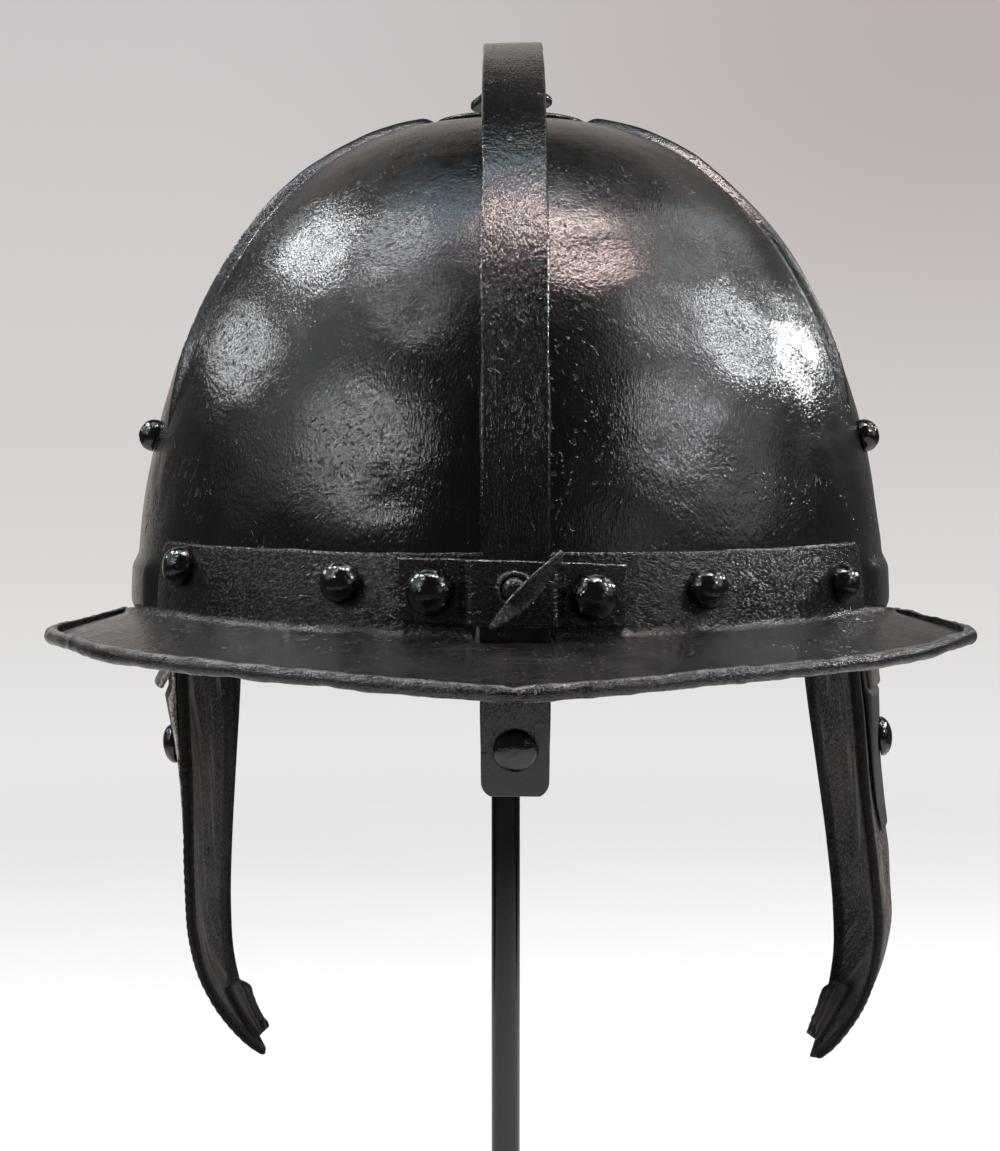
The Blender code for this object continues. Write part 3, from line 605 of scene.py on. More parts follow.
    def _mottle(self) -> bpy.types.NodeTree:
        """Three colours laid over each other in cloudy patches and lengthwise streaks."""
        g, given, out = self._group(
            "Mottled colour",
            {"Vector": ("Vector", 0.0), "Grain": ("Vector", 0.0), "Dark": ("Color", 0.0),
             "Light": ("Color", 0.0), "Streak": ("Color", 0.0), "Streaks": ("Float", 0.4),
             "Specks": ("Float", 0.3)},
            {"Color": "Color", "Cloud": "Float"})
        cloud = g.noise(given["Vector"], 38.0, 4.0, 0.6)
        base = g.blend(g.span(cloud, 0.35, 0.68), given["Dark"], given["Light"])
        lines = g.noise(g.stretch(given["Grain"], (420.0, 34.0, 420.0)), 1.0, 4.0, 0.6)
        amount = g.times(g.span(lines, 0.48, 0.72), given["Streaks"])
        # Light flecks in the colour; on the peak and staple they are partly painted glints.
        grit_and_glints = g.span(g.noise(g.stretch(given["Grain"], (1700.0, 900.0, 1700.0)), 1.0, 2.0, 0.7), 0.50, 0.68)
        amount = g.math("MAXIMUM", amount, g.times(grit_and_glints, given["Specks"]))
        g.link(g.blend(amount, base, given["Streak"]), out["Color"])
        g.link(cloud, out["Cloud"])
        return g.tree


def tint(red: float, green: float, blue: float) -> Colour:
    """Linear colour with full alpha."""
    return (red, green, blue, 1.0)


@dataclass(frozen=True)
class Finish:
    """How one kind of surface looks."""

    slot: Slot
    dark: Colour
    light: Colour
    streak: Colour
    streaks: float = 0.35
    specks: float = 0.3
    rough: tuple[float, float] = (0.26, 0.42)
    ior: float = 1.55
    peel: float = 1.0
    brush: float = 0.4
    pits: float = 0.6
    bump: float = 0.00006
    wear: float = 0.6
    worn_colour: Colour = tint(0.23, 0.235, 0.24)
    worn_metal: float = 0.6
    shaded_colour: Colour = tint(0.0025, 0.0024, 0.0024)
    dust: float = 0.15
    dust_colour: Colour = tint(0.17, 0.16, 0.15)
    sheen: float = 0.0

    def build(self, effects: Effects) -> bpy.types.Material:
        """Make the material.

        Args:
            effects: the shared node groups.

        Returns:
            A Principled material fed by the groups through Object coordinates and attributes.
        """
        mat = bpy.data.materials.new(self.slot.value)
        g = Graph.fresh(mat)
        place = g.add("ShaderNodeTexCoord").outputs["Object"]
        grain = g.add("ShaderNodeAttribute", attribute_name="grain").outputs["Vector"]
        worn = g.add("ShaderNodeAttribute", attribute_name="worn").outputs["Fac"]
        relief = g.add("ShaderNodeGroup", node_tree=effects.relief)
        for name, value in (("Peel", self.peel), ("Brush", self.brush), ("Pits", self.pits)):
            relief.inputs[name].default_value = value
        colour = g.add("ShaderNodeGroup", node_tree=effects.mottle)
        for name, value in (("Dark", self.dark), ("Light", self.light), ("Streak", self.streak),
                            ("Streaks", self.streaks), ("Specks", self.specks)):
            colour.inputs[name].default_value = value
        rub = g.add("ShaderNodeGroup", node_tree=effects.wear)
        rub.inputs["Amount"].default_value = self.wear
        dust = g.add("ShaderNodeGroup", node_tree=effects.dust)
        dust.inputs["Amount"].default_value = self.dust
        for node in (relief, colour, rub, dust):
            g.link(place, node.inputs["Vector"])
        for node in (relief, colour):
            g.link(grain, node.inputs["Grain"])
        g.link(worn, rub.inputs["Worn"])
        base = g.blend(rub.outputs["Mask"], colour.outputs["Color"], self.worn_colour)
        base = g.blend(dust.outputs["Mask"], base, self.dust_colour)
        # Painted shade: negative worn blends the colour toward the near-black shaded colour; the cheekpieces'
        # dark borders use the same blend.
        base = g.blend(g.span(worn, 0.0, -1.0), base, self.shaded_colour)
        rough = g.span(colour.outputs["Cloud"], 0.3, 0.7, self.rough[0], self.rough[1])
        rough = g.plus(rough, g.times(relief.outputs["Pit"], 0.25))
        rough = g.math("ADD", rough, g.times(dust.outputs["Mask"], 0.5), clamp=True)
        height = relief.outputs["Height"]
        bump = g.add("ShaderNodeBump", {"Height": height, "Distance": self.bump, "Strength": 1.0})
        shader = g.add("ShaderNodeBsdfPrincipled", {
            "Base Color": base, "Roughness": rough, "IOR": self.ior, "Normal": bump.outputs[0],
            "Metallic": g.times(rub.outputs["Mask"], self.worn_metal),
            "Sheen Weight": self.sheen, "Sheen Roughness": 0.5})
        out = g.add("ShaderNodeOutputMaterial")
        g.link(shader.outputs[0], out.inputs["Surface"])
        return mat


FINISHES = (
    Finish(Slot.SKULL, tint(0.0022, 0.0025, 0.0029), tint(0.0042, 0.0046, 0.0050),
           tint(0.0085, 0.0088, 0.0092),
           streaks=0.3, rough=(0.15, 0.22), peel=1.15, brush=0.85, pits=1.5, bump=0.00016, wear=0.3,
           dust=0.07),
    # The peak's light streak colour, laid on by the specks, is partly painted glints.
    Finish(Slot.PEAK, tint(0.0034, 0.0034, 0.0034), tint(0.0068, 0.0065, 0.0062),
           tint(0.056, 0.052, 0.048),
           streaks=0.3, specks=0.6, rough=(0.07, 0.15), peel=2.1, brush=0.9, pits=1.4, bump=0.00028, wear=0.6,
           dust=0.07),
    Finish(Slot.BAR, tint(0.0030, 0.0029, 0.0030), tint(0.0060, 0.0056, 0.0053),
           tint(0.0140, 0.0124, 0.0112),
           streaks=0.6, rough=(0.14, 0.22), peel=1.3, brush=2.1, pits=1.0, bump=0.00017, wear=0.3, dust=0.03),
    # The staple's light specks are partly painted glints.
    Finish(Slot.STAPLE, tint(0.0035, 0.0035, 0.0037), tint(0.0085, 0.0082, 0.0082),
           tint(0.056, 0.054, 0.052),
           specks=0.7, rough=(0.09, 0.20), peel=2.2, brush=0.3, pits=1.6, bump=0.00032, wear=0.42),
    Finish(Slot.RIVET, tint(0.0020, 0.0020, 0.0022), tint(0.0040, 0.0040, 0.0044),
           tint(0.0070, 0.0070, 0.0074),
           streaks=0.2, rough=(0.05, 0.09), peel=1.1, brush=0.1, pits=0.3, ior=1.65,
           bump=0.00018, wear=0.12, dust=0.03),
    Finish(Slot.CHEEK, tint(0.0240, 0.0215, 0.0200), tint(0.112, 0.1000, 0.0905),
           tint(0.300, 0.266, 0.238),
           streaks=0.85, specks=0.85, rough=(0.38, 0.54), ior=1.26, peel=2.4, brush=2.4, pits=2.2,
           bump=0.00024, wear=0.22),
    Finish(Slot.TAIL, tint(0.0026, 0.0028, 0.0032), tint(0.0052, 0.0056, 0.0062),
           tint(0.0105, 0.0108, 0.0112),
           rough=(0.15, 0.24), peel=1.4, brush=0.6, pits=1.1, bump=0.00016, wear=0.5),
    Finish(Slot.STRAP, tint(0.050, 0.037, 0.030), tint(0.115, 0.090, 0.074),
           tint(0.20, 0.17, 0.145),
           streaks=0.5, specks=0.5, rough=(0.55, 0.75), peel=4.0, brush=0.5, pits=0.7, bump=0.00018,
           wear=0.5, worn_colour=tint(0.88, 0.80, 0.71), worn_metal=0.0),
    Finish(Slot.STAND, tint(0.0085, 0.0085, 0.0087), tint(0.0115, 0.0115, 0.0117),
           tint(0.0150, 0.0150, 0.0150),
           streaks=0.1, specks=0.0, rough=(0.08, 0.12), ior=1.62, peel=0.4, brush=0.0, pits=0.0,
           bump=0.00003, wear=0.1, dust=0.04),
    Finish(Slot.PAD, tint(0.012, 0.012, 0.013), tint(0.024, 0.024, 0.026),
           tint(0.04, 0.04, 0.042),
           streaks=0.5, rough=(0.85, 0.97), ior=1.4, peel=6.0, brush=0.0, pits=0.0, bump=0.00030,
           wear=0.0, dust=0.1, sheen=0.6),
)


# ---------------------------------------------------------------- shapes


@dataclass(frozen=True)
class Bowl:
    """The skull's form, shared by all that lies on it."""

    half_width: float = 0.1025
    half_length: float = 0.1150
    height: float = 0.1330
    roundness: float = 2.564
    crown: float = 1.949
    rim: float = 0.240
    wall: float = 0.0016
    gap: float = 0.0003
    hem: float = 0.0015
    ribs: tuple[float, ...] = (0.0, 67.5, 124.0, 180.0, 236.0, 292.5)
    rib_lift: float = 0.0021

    def share(self, rise: Number) -> Array:
        """Plan radius at a height, as a share of the rim's."""
        part = np.clip(np.asarray(rise, dtype=float) / self.height, 0.0, 1.0) ** self.crown
        return (1.0 - part) ** (1.0 / self.roundness)

    def rise(self, share: Number) -> Array:
        """Height at which the plan radius is this share of the rim's."""
        return self.height * (1.0 - np.asarray(share, dtype=float) ** self.roundness) ** (1.0 / self.crown)

    def point(self, angle: Number, rise: Number, offset: Number = 0.0) -> tuple[Array, Array]:
        """Point outside the bowl and the bowl's normal there.

        Args:
            angle: degrees from the front.
            rise: height above the rim line.
            offset: distance out along the normal.

        Returns:
            Points of a superellipse in height over an ellipse in plan, and its gradient as normals.
        """
        angle, rise, offset = np.broadcast_arrays(np.asarray(angle, float), np.asarray(rise, float),
                                                  np.asarray(offset, float))
        turn = np.radians(angle)
        share = self.share(rise)
        x = self.half_width * share * np.sin(turn)
        y = -self.half_length * share * np.cos(turn)
        ring = np.maximum(share, 1e-4) ** (self.roundness - 2.0) * self.roundness
        up = self.crown * (np.maximum(rise, 1e-9) / self.height) ** (self.crown - 1.0) / self.height
        normal = unit(xyz(ring * x / self.half_width**2, ring * y / self.half_length**2, up))
        return xyz(x, y, rise + self.rim) + normal * offset[..., None], normal

    def swell(self, angle: Array, rise: Array) -> Array:
        """Outward step of the hem beside and behind the band."""
        around = ramp(60.5, 67.0, np.abs(angle))
        return self.hem * around * ramp(0.0165, 0.0115, rise) * (0.35 + 0.65 * ramp(0.0, 0.0035, rise))


BOWL = Bowl()


@dataclass
class Workshop:
    """Dresses the finished pieces and keeps them together."""

    effects: Effects
    materials: dict[Slot, bpy.types.Material] = field(default_factory=dict)
    pieces: list[bpy.types.Object] = field(default_factory=list)

    def finish_all(self) -> None:
        """Make one material for each finish."""
        for finish in FINISHES:
            self.materials[finish.slot] = finish.build(self.effects)

    def add(self, obj: bpy.types.Object, slot: Slot, body: str, *nodes: str) -> None:
        """Dress a piece and fix it to its body.

        Args:
            obj: the piece, at the origin.
            slot: its material slot.
            body: the body that it moves with.
            *nodes: the CAD nodes that it stands for.
        """
        obj.data.materials.clear()
        obj.data.materials.append(self.materials[slot])
        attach(obj, body)
        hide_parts(*nodes)
        self.pieces.append(obj)


class Part:
    """A part of the object, made of one or more pieces."""

    def __init__(self, shop: Workshop) -> None:
        self.shop = shop

    def put(self, shape: Surface, slot: Slot, node: str, body: str = "helmet") -> None:
        """Make a piece named after the CAD node that it stands for.

        Args:
            shape: the piece's mesh.
            slot: its material slot.
            node: the CAD node.
            body: the body that it moves with.
        """
        self.shop.add(shape.build("helmet_" + node), slot, body, node)


class SkullPiece(Part):
    """The bowl, its ribs, hem and hammered face, and the disc on its apex."""

    # angle and lean in degrees; rise, half-width, half-height and depth in millimetres:
    # angle, rise, half-width, half-height, lean, depth
    DENTS = np.array([
        (-38.8, 94.0, 8.5, 17.0, 14.0, 0.85), (-39.8, 82.0, 8.0, 9.0, 0.0, 0.30),
        (-47.3, 67.2, 10.5, 11.0, 0.0, 0.85), (-20.5, 91.0, 9.5, 9.5, 0.0, 0.60),
        (-15.9, 76.4, 8.5, 8.0, 0.0, 0.55), (-22.7, 46.5, 13.0, 15.0, -10.0, 0.85),
        (-16.5, 33.0, 9.0, 11.0, -15.0, 0.55), (-31.0, 58.0, 11.0, 12.0, 0.0, -0.35),
        (-33.0, 33.0, 10.0, 16.0, 0.0, -0.30), (-57.0, 44.0, 10.0, 14.0, 0.0, 0.45),
        (15.0, 90.5, 19.0, 7.0, -6.0, 0.55), (31.8, 91.5, 7.5, 8.0, 0.0, 0.60),
        (45.0, 92.2, 7.5, 13.0, -12.0, 0.50), (24.5, 74.8, 8.5, 8.5, 0.0, 0.60),
        (37.0, 70.0, 10.5, 13.5, 10.0, 0.95), (52.9, 62.5, 6.5, 14.0, -14.0, 0.75),
        (24.5, 46.7, 10.5, 17.0, 6.0, 0.95), (33.5, 34.0, 7.0, 14.0, 0.0, 0.60),
        (45.4, 40.5, 7.0, 9.0, 0.0, 0.45), (33.0, 54.0, 8.0, 12.0, 0.0, -0.30),
        (59.0, 40.0, 9.0, 14.0, 0.0, 0.45), (2.0, 55.0, 13.0, 17.0, 0.0, 0.25),
        (-6.0, 30.0, 11.0, 12.0, 0.0, 0.25)])

    def __init__(self, shop: Workshop) -> None:
        super().__init__(shop)
        rng = np.random.default_rng(11)
        count = 130
        sizes = rng.uniform(8.0, 15.0, count)
        rest = np.stack([rng.uniform(66.0, 294.0, count), 132.0 * rng.random(count) ** 0.8, sizes,
                         sizes * rng.uniform(0.9, 1.5, count), rng.uniform(-20.0, 20.0, count),
                         rng.uniform(-0.15, 0.75, count)], axis=-1)
        self.dents = np.concatenate([self.DENTS, rest])

    def relief(self, points: Array, rise: Array) -> Array:
        """Hammer dents and a slow unevenness.

        Args:
            points: places on the bowl.
            rise: their heights.

        Returns:
            Minus the sum of leaning elliptical Gaussian dents, plus noise, faded out under the band.
        """
        total = np.zeros(rise.shape)
        for angle, level, wide, high, lean, depth in self.dents:
            centre, normal = BOWL.point(angle, level * 0.001)
            across = unit(np.cross(UP, normal))
            up = np.cross(normal, across)
            turn = math.radians(lean)
            away = points - centre
            u = away @ (across * math.cos(turn) - up * math.sin(turn)) / (wide * 0.001)
            v = away @ (up * math.cos(turn) + across * math.sin(turn)) / (high * 0.001)
            total -= 0.001 * depth * np.exp(-(u * u + v * v) - (away @ normal / 0.03) ** 2)
        total += 0.00012 + 0.00010 * Noise(5).layered(points, 0.016, 3)
        total += 0.00008 * Noise(6).layered(points, 0.006, 2)
        for angle in RivetSet.SIDE.values():
            rivet, _ = BOWL.point(angle, RivetSet.SIDE_RISE)
            total = total * ramp(0.004, 0.009, np.linalg.norm(points - rivet, axis=-1))
        return total * ramp(0.018, 0.030, rise) * ramp(0.019, 0.03, np.hypot(points[..., 0], points[..., 1]))

    @staticmethod
    def ribs(angle: Array, rise: Array) -> tuple[Array, Array]:
        """Lift of the six ribs.

        Args:
            angle: degrees from the front.
            rise: heights.

        Returns:
            Straight flanks with a rounded crest and a crisp foot, a shallow trough beyond it, all
            tapering down to a point, and how near the crests are.
        """
        away = np.min([np.abs((angle - rib + 180.0) % 360.0 - 180.0) for rib in BOWL.ribs], axis=0)
        radius = BOWL.share(rise) * 0.5 * (BOWL.half_width + BOWL.half_length)
        aside = np.radians(away) * radius
        fade = ramp(0.045, 0.070, rise) * ramp(0.0213, 0.027, radius)
        wide = 0.0009 + 0.0011 * fade
        flank = 1.0 - (np.sqrt(aside**2 + 0.0006**2) - 0.0006) / wide
        ridge = 0.5 * (flank + np.sqrt(flank**2 + 0.06**2))
        form = ridge - 0.15 * bell(aside, wide + 0.0010, 0.0011) + 0.05 * bell(aside, wide + 0.0042, 0.0017)
        return BOWL.rib_lift * form * fade, np.maximum(ridge, 0.0) * fade

    def skin(self, angle: Array, rise: Array, offset: Array) -> tuple[Array, Array]:
        """Points of the bowl's skin at an offset, with how rubbed they are."""
        flat, _ = BOWL.point(angle, rise)
        lift, crest = self.ribs(angle, rise)
        wrapped = (angle + 180.0) % 360.0 - 180.0
        lift = lift + BOWL.swell(wrapped, rise) + self.relief(flat, rise) + offset
        points = BOWL.point(angle, rise, lift)[0]
        worn = np.maximum(0.15 * crest, 0.8 * ramp(0.004, 0.0, rise))
        return points, worn

    @staticmethod
    def columns() -> Array:
        """Azimuths round the bowl, closer together beside each rib."""
        beside, coarse = 6.5, 1.20
        place = np.linspace(-1.0, 1.0, 47)
        close = beside * np.sign(place) * np.abs(place) ** 1.3
        parts = []
        for rib, after in zip(BOWL.ribs, BOWL.ribs[1:] + (360.0,)):
            plain = round((after - rib - 2.0 * beside) / coarse)
            parts += [rib + close, np.linspace(rib + beside, after - beside, plain + 1)[1:-1]]
        return np.concatenate(parts)

    @staticmethod
    def rows(count: int, reach: float) -> Array:
        """Heights evenly spaced along the bowl's side, from the rim to a share of its crown."""
        turn = np.linspace(0.0, math.pi / 2.0, 4000)
        share = np.cos(turn) ** (2.0 / BOWL.roundness)
        rise = BOWL.height * np.sin(turn) ** (2.0 / BOWL.crown)
        length = np.concatenate([[0.0], np.cumsum(np.hypot(np.diff(share * 0.109), np.diff(rise)))])
        return np.interp(np.linspace(0.0, length[-1] * reach, count), length, rise)

    def build(self) -> None:
        """Make the bowl and the disc."""
        down = self.rows(26, 0.985)[::-1]
        up = self.rows(158, 0.994)
        lip = np.array([(-0.85, 0.0003), (-0.5, 0.0005), (-0.15, 0.0003)])
        rise = np.concatenate([down, np.zeros(len(lip)), up])
        depth = np.concatenate([np.ones(len(down)), -lip[:, 0], np.zeros(len(up))]) * BOWL.wall
        sag = np.pad(lip[:, 1], (len(down), len(up)))
        points, worn = self.skin(*np.meshgrid(self.columns(), rise), -depth[:, None])
        points[..., 2] -= sag[:, None]
        top = UP * (BOWL.rim + BOWL.height)
        mesh = tube(points, top - UP * BOWL.wall, top, worn, points[..., [0, 2, 1]])
        self.put(mesh, Slot.SKULL, "skull")
        self._rosette()

    def _rosette(self) -> None:
        """Thin disc on the apex with a softened rim."""
        radius, thick, around = 0.0205, 0.0015, 96
        # share of the radius and lift, from the middle of the underside round the rim to the top
        profile = np.array([
            (0.05, 0.0), (0.2, 0.0), (0.4, 0.0), (0.6, 0.0), (0.8, 0.0), (0.93, 0.0), (0.985, 0.0001),
            (1.0, 0.0005), (0.99, 0.0010), (0.97, 0.0012), (0.93, 0.0014), (0.85, 0.0014),
            (0.6, 0.0015), (0.35, 0.0015), (0.15, 0.0015)])
        shares, lifts = profile.T
        angle = np.arange(around) * 360.0 / around
        angles, share = np.meshgrid(angle, shares * radius / BOWL.half_width)
        uneven = 1.0 + 0.012 * np.sin(np.radians(angles) * 5.0 + 1.0)
        points = BOWL.point(angles, BOWL.rise(share * uneven), (BOWL.gap + lifts)[:, None])[0]
        low = UP * (BOWL.rim + BOWL.height + BOWL.gap)
        mesh = tube(points, low, low + UP * thick, 0.8 * bell(shares, 0.99, 0.03)[:, None], points)
        self.shop.add(mesh.build("helmet_rosette"), Slot.SKULL, "helmet", "apex_rosette")


class PeakPiece(Part):
    """Peak and standing band in one plate."""

    OUTLINE = np.array([
        (0.0, 0.0000, -0.1612, 0.0), (4.6, 0.0130, -0.1578, 0.0), (9.3, 0.0255, -0.1530, 0.0001),
        (19.0, 0.0480, -0.1412, 0.0004), (29.0, 0.0690, -0.1268, 0.0008), (39.5, 0.0870, -0.1105, 0.0014),
        (50.5, 0.1015, -0.0920, 0.0021), (60.5, 0.1120, -0.0700, 0.0024), (66.0, 0.1180, -0.0560, 0.0020),
        (70.0, 0.1203, -0.0465, 0.0014), (74.0, 0.1180, -0.0388, 0.0007), (78.5, 0.1095, -0.0270, -0.0004),
        (82.0, 0.1068, -0.0175, -0.0012)])
    THICK = 0.0016
    ROLL = 0.0019
    BAND_TOP = 0.0190
    BAND_ANGLE = 59.0
    # place of the fold between band and flange, counted down the section from the band's top edge
    FOLD = 19.0

    def __init__(self, shop: Workshop) -> None:
        super().__init__(shop)
        half = np.unique(np.concatenate([np.linspace(0.0, 82.0, 196), np.linspace(55.6, 60.4, 30)]))
        self.angle = np.concatenate([-half[:0:-1], half])
        table = self.OUTLINE
        inside = np.abs(self.angle)
        self.x = np.sign(self.angle) * curve(inside, table[:, 0], table[:, 1])
        self.y = curve(inside, table[:, 0], table[:, 2])
        self.root = curve(inside, table[:, 0], table[:, 3])

    def band_top(self) -> Array:
        """Height of the band's top edge, with rounded corners and a hand-filed waver."""
        stub = self.root + 0.0011
        past = np.clip((np.abs(self.angle) - (self.BAND_ANGLE - 2.6)) / 2.6, 0.0, 1.0)
        full = self.BAND_TOP + 0.0008 * (np.abs(self.angle) / 50.0) ** 2
        full = full + 0.00018 * Noise(21).layered(xyz(self.angle * 0.002, 0.0, 0.0), 0.012, 3)
        return stub + (full - stub) * np.sqrt(1.0 - past**2.5)

    def middle(self) -> tuple[Array, Array, Array]:
        """Middle line of each upright section.

        Returns:
            Points by section and place, the distance out from the skull, and the sections' planes.
        """
        angle = self.angle[:, None]
        swell = BOWL.hem * ramp(59.5, 66.0, np.abs(self.angle))
        near = (BOWL.gap + swell)[:, None]
        top = self.band_top()[:, None]
        root = self.root[:, None]
        bend = np.minimum(0.0015, 0.45 * (top - root))
        down = np.concatenate([[0.0, 0.012, 0.04], np.linspace(0.09, 1.0, 13)])[None, :]
        rises = top - 0.0008 - (top - 0.0008 - root - bend) * down
        wall = BOWL.point(angle, np.maximum(rises, 0.0), near + self.THICK / 2.0)[0]
        wall[..., 2] = BOWL.rim + rises
        foot = BOWL.point(self.angle, np.maximum(self.root, 0.0), near[:, 0])[0]
        foot[:, 2] = BOWL.rim + self.root
        along = xyz(self.x, self.y, foot[:, 2]) - foot
        length = np.linalg.norm(along, axis=-1)
        along = along / length[:, None]
        slope = 0.19 + 0.10 * np.sin(np.radians(np.abs(self.angle))) ** 2
        start = self.THICK + np.minimum(0.0026, 0.35 * length)
        out = start[:, None] + (length - self.ROLL - start)[:, None] * np.linspace(0.0, 1.0, 30)[None, :]
        flange = foot[:, None, :] + along[:, None, :] * out[..., None]
        flange[..., 2] = foot[:, None, 2] - slope[:, None] * out - self.THICK / 2.0
        corner = wall[:, -1].copy()
        corner[:, 2] = foot[:, 2] - slope * self.THICK - self.THICK / 2.0
        t = np.linspace(0.0, 1.0, 8)[None, 1:-1, None]
        turn = (1 - t) ** 2 * wall[:, -1:] + 2 * t * (1 - t) * corner[:, None] + t * t * flange[:, :1]
        path = np.concatenate([wall, turn, flange], axis=1)
        reach = np.pad(out, ((0, 0), (path.shape[1] - out.shape[1], 0)))
        return path, reach, along

    def build(self) -> None:
        """Make the plate: both faces, the rolled edge and the slot for the bar."""
        path, reach, along = self.middle()
        side = unit(np.cross(along, UP))
        tangent = unit(np.gradient(path, axis=1))
        normal = unit(np.cross(side[:, None, :], tangent))
        normal *= np.sign(normal[:, -1:, 2:])
        noise = Noise(23)
        uneven = 0.00016 * noise.layered(path, 0.016, 3) * ramp(0.004, 0.014, reach)
        path = path + normal * uneven[..., None]
        half = self.THICK / 2.0
        upper = path + normal * half
        lower = path - normal * half
        centre = path[:, -1]
        spots = xyz(self.x, self.y, 0.0)
        back = ramp(64.0, 72.0, np.abs(self.angle))
        swell = 1.0 + 0.08 * noise.layered(spots, 0.008, 2) - 0.24 * bell(self.x, 0.0, 0.0016) + 0.22 * back
        rope = 0.05 * np.sin(self.y / 0.00042) * back
        size = self.ROLL * (swell + rope)
        turns = np.radians(np.linspace(118.0, -118.0, 17))
        roll = (centre[:, None] + along[:, None] * (np.cos(turns) * size[:, None])[..., None]
                + UP * (np.sin(turns) * size[:, None])[..., None])
        hammered = noise.layered(roll, 0.0042, 3) * 0.00016 + noise.layered(roll, 0.0017, 2) * 0.00006
        roll = roll + unit(roll - centre[:, None]) * hammered[..., None]
        roll = roll + UP * (0.0007 * back)[:, None, None]
        cross = np.array([-0.92, -0.72, 0.0, 0.72, 0.92]) * half
        crown = np.array([0.86, 1.0, 1.0, 1.0, 0.86]) * half
        rise = -tangent[:, 0]
        cover = path[:, :1] + normal[:, :1] * cross[None, :, None] + rise[:, None, :] * crown[None, :, None]
        ring = np.concatenate([cover, upper[:, :-2], roll, lower[:, :-2][:, ::-1]], axis=1)
        place = np.arange(path.shape[1])
        fold = 0.5 * bell(place, self.FOLD, 1.5)
        corners = bell(np.abs(self.angle), self.BAND_ANGLE, 0.5)[:, None]
        face = np.maximum(fold, 0.8 * corners * ramp(14.0, 8.0, place))
        face[:, 0] = np.maximum(face[:, 0], 0.35)
        rim = np.repeat(0.35 + 0.5 * bell(np.arange(len(turns)), 3.0, 2.6)[None], len(face), 0)
        top = np.full((len(face), len(cross)), 0.6)
        worn = np.concatenate([top, face[:, :-2], rim, 0.2 * face[:, :-2][:, ::-1]], axis=1)
        grain = xyz(ring[..., 1] + ring[..., 2], ring[..., 0], ring[..., 2])
        obj = tube(ring, None, None, worn, grain).build("helmet_peak")
        self._slot(obj)
        self.shop.add(obj, Slot.PEAK, "helmet", "peak")

    @staticmethod
    def _slot(obj: bpy.types.Object) -> None:
        """Cut the slot that the nasal bar passes through."""
        half = BarPiece.WIDTH / 2.0 + 0.0013
        low = np.array([-half + 0.0008, -BOWL.half_length - 0.0064, BOWL.rim - 0.010])
        high = np.array([half, -BOWL.half_length - 0.0015, BOWL.rim + 0.0040])
        corner = np.array([[-1, -1], [1, -1], [1, 1], [-1, 1]])
        flat = (low[:2] + high[:2]) / 2.0 + corner * (high[:2] - low[:2]) / 2.0
        rings = xyz(flat[:, 0], flat[:, 1], np.array([[low[2]], [high[2]]]))
        tool = tube(rings, None, None, np.zeros(1), rings).build("slot_tool")
        cut_or_join(obj, tool, "DIFFERENCE")


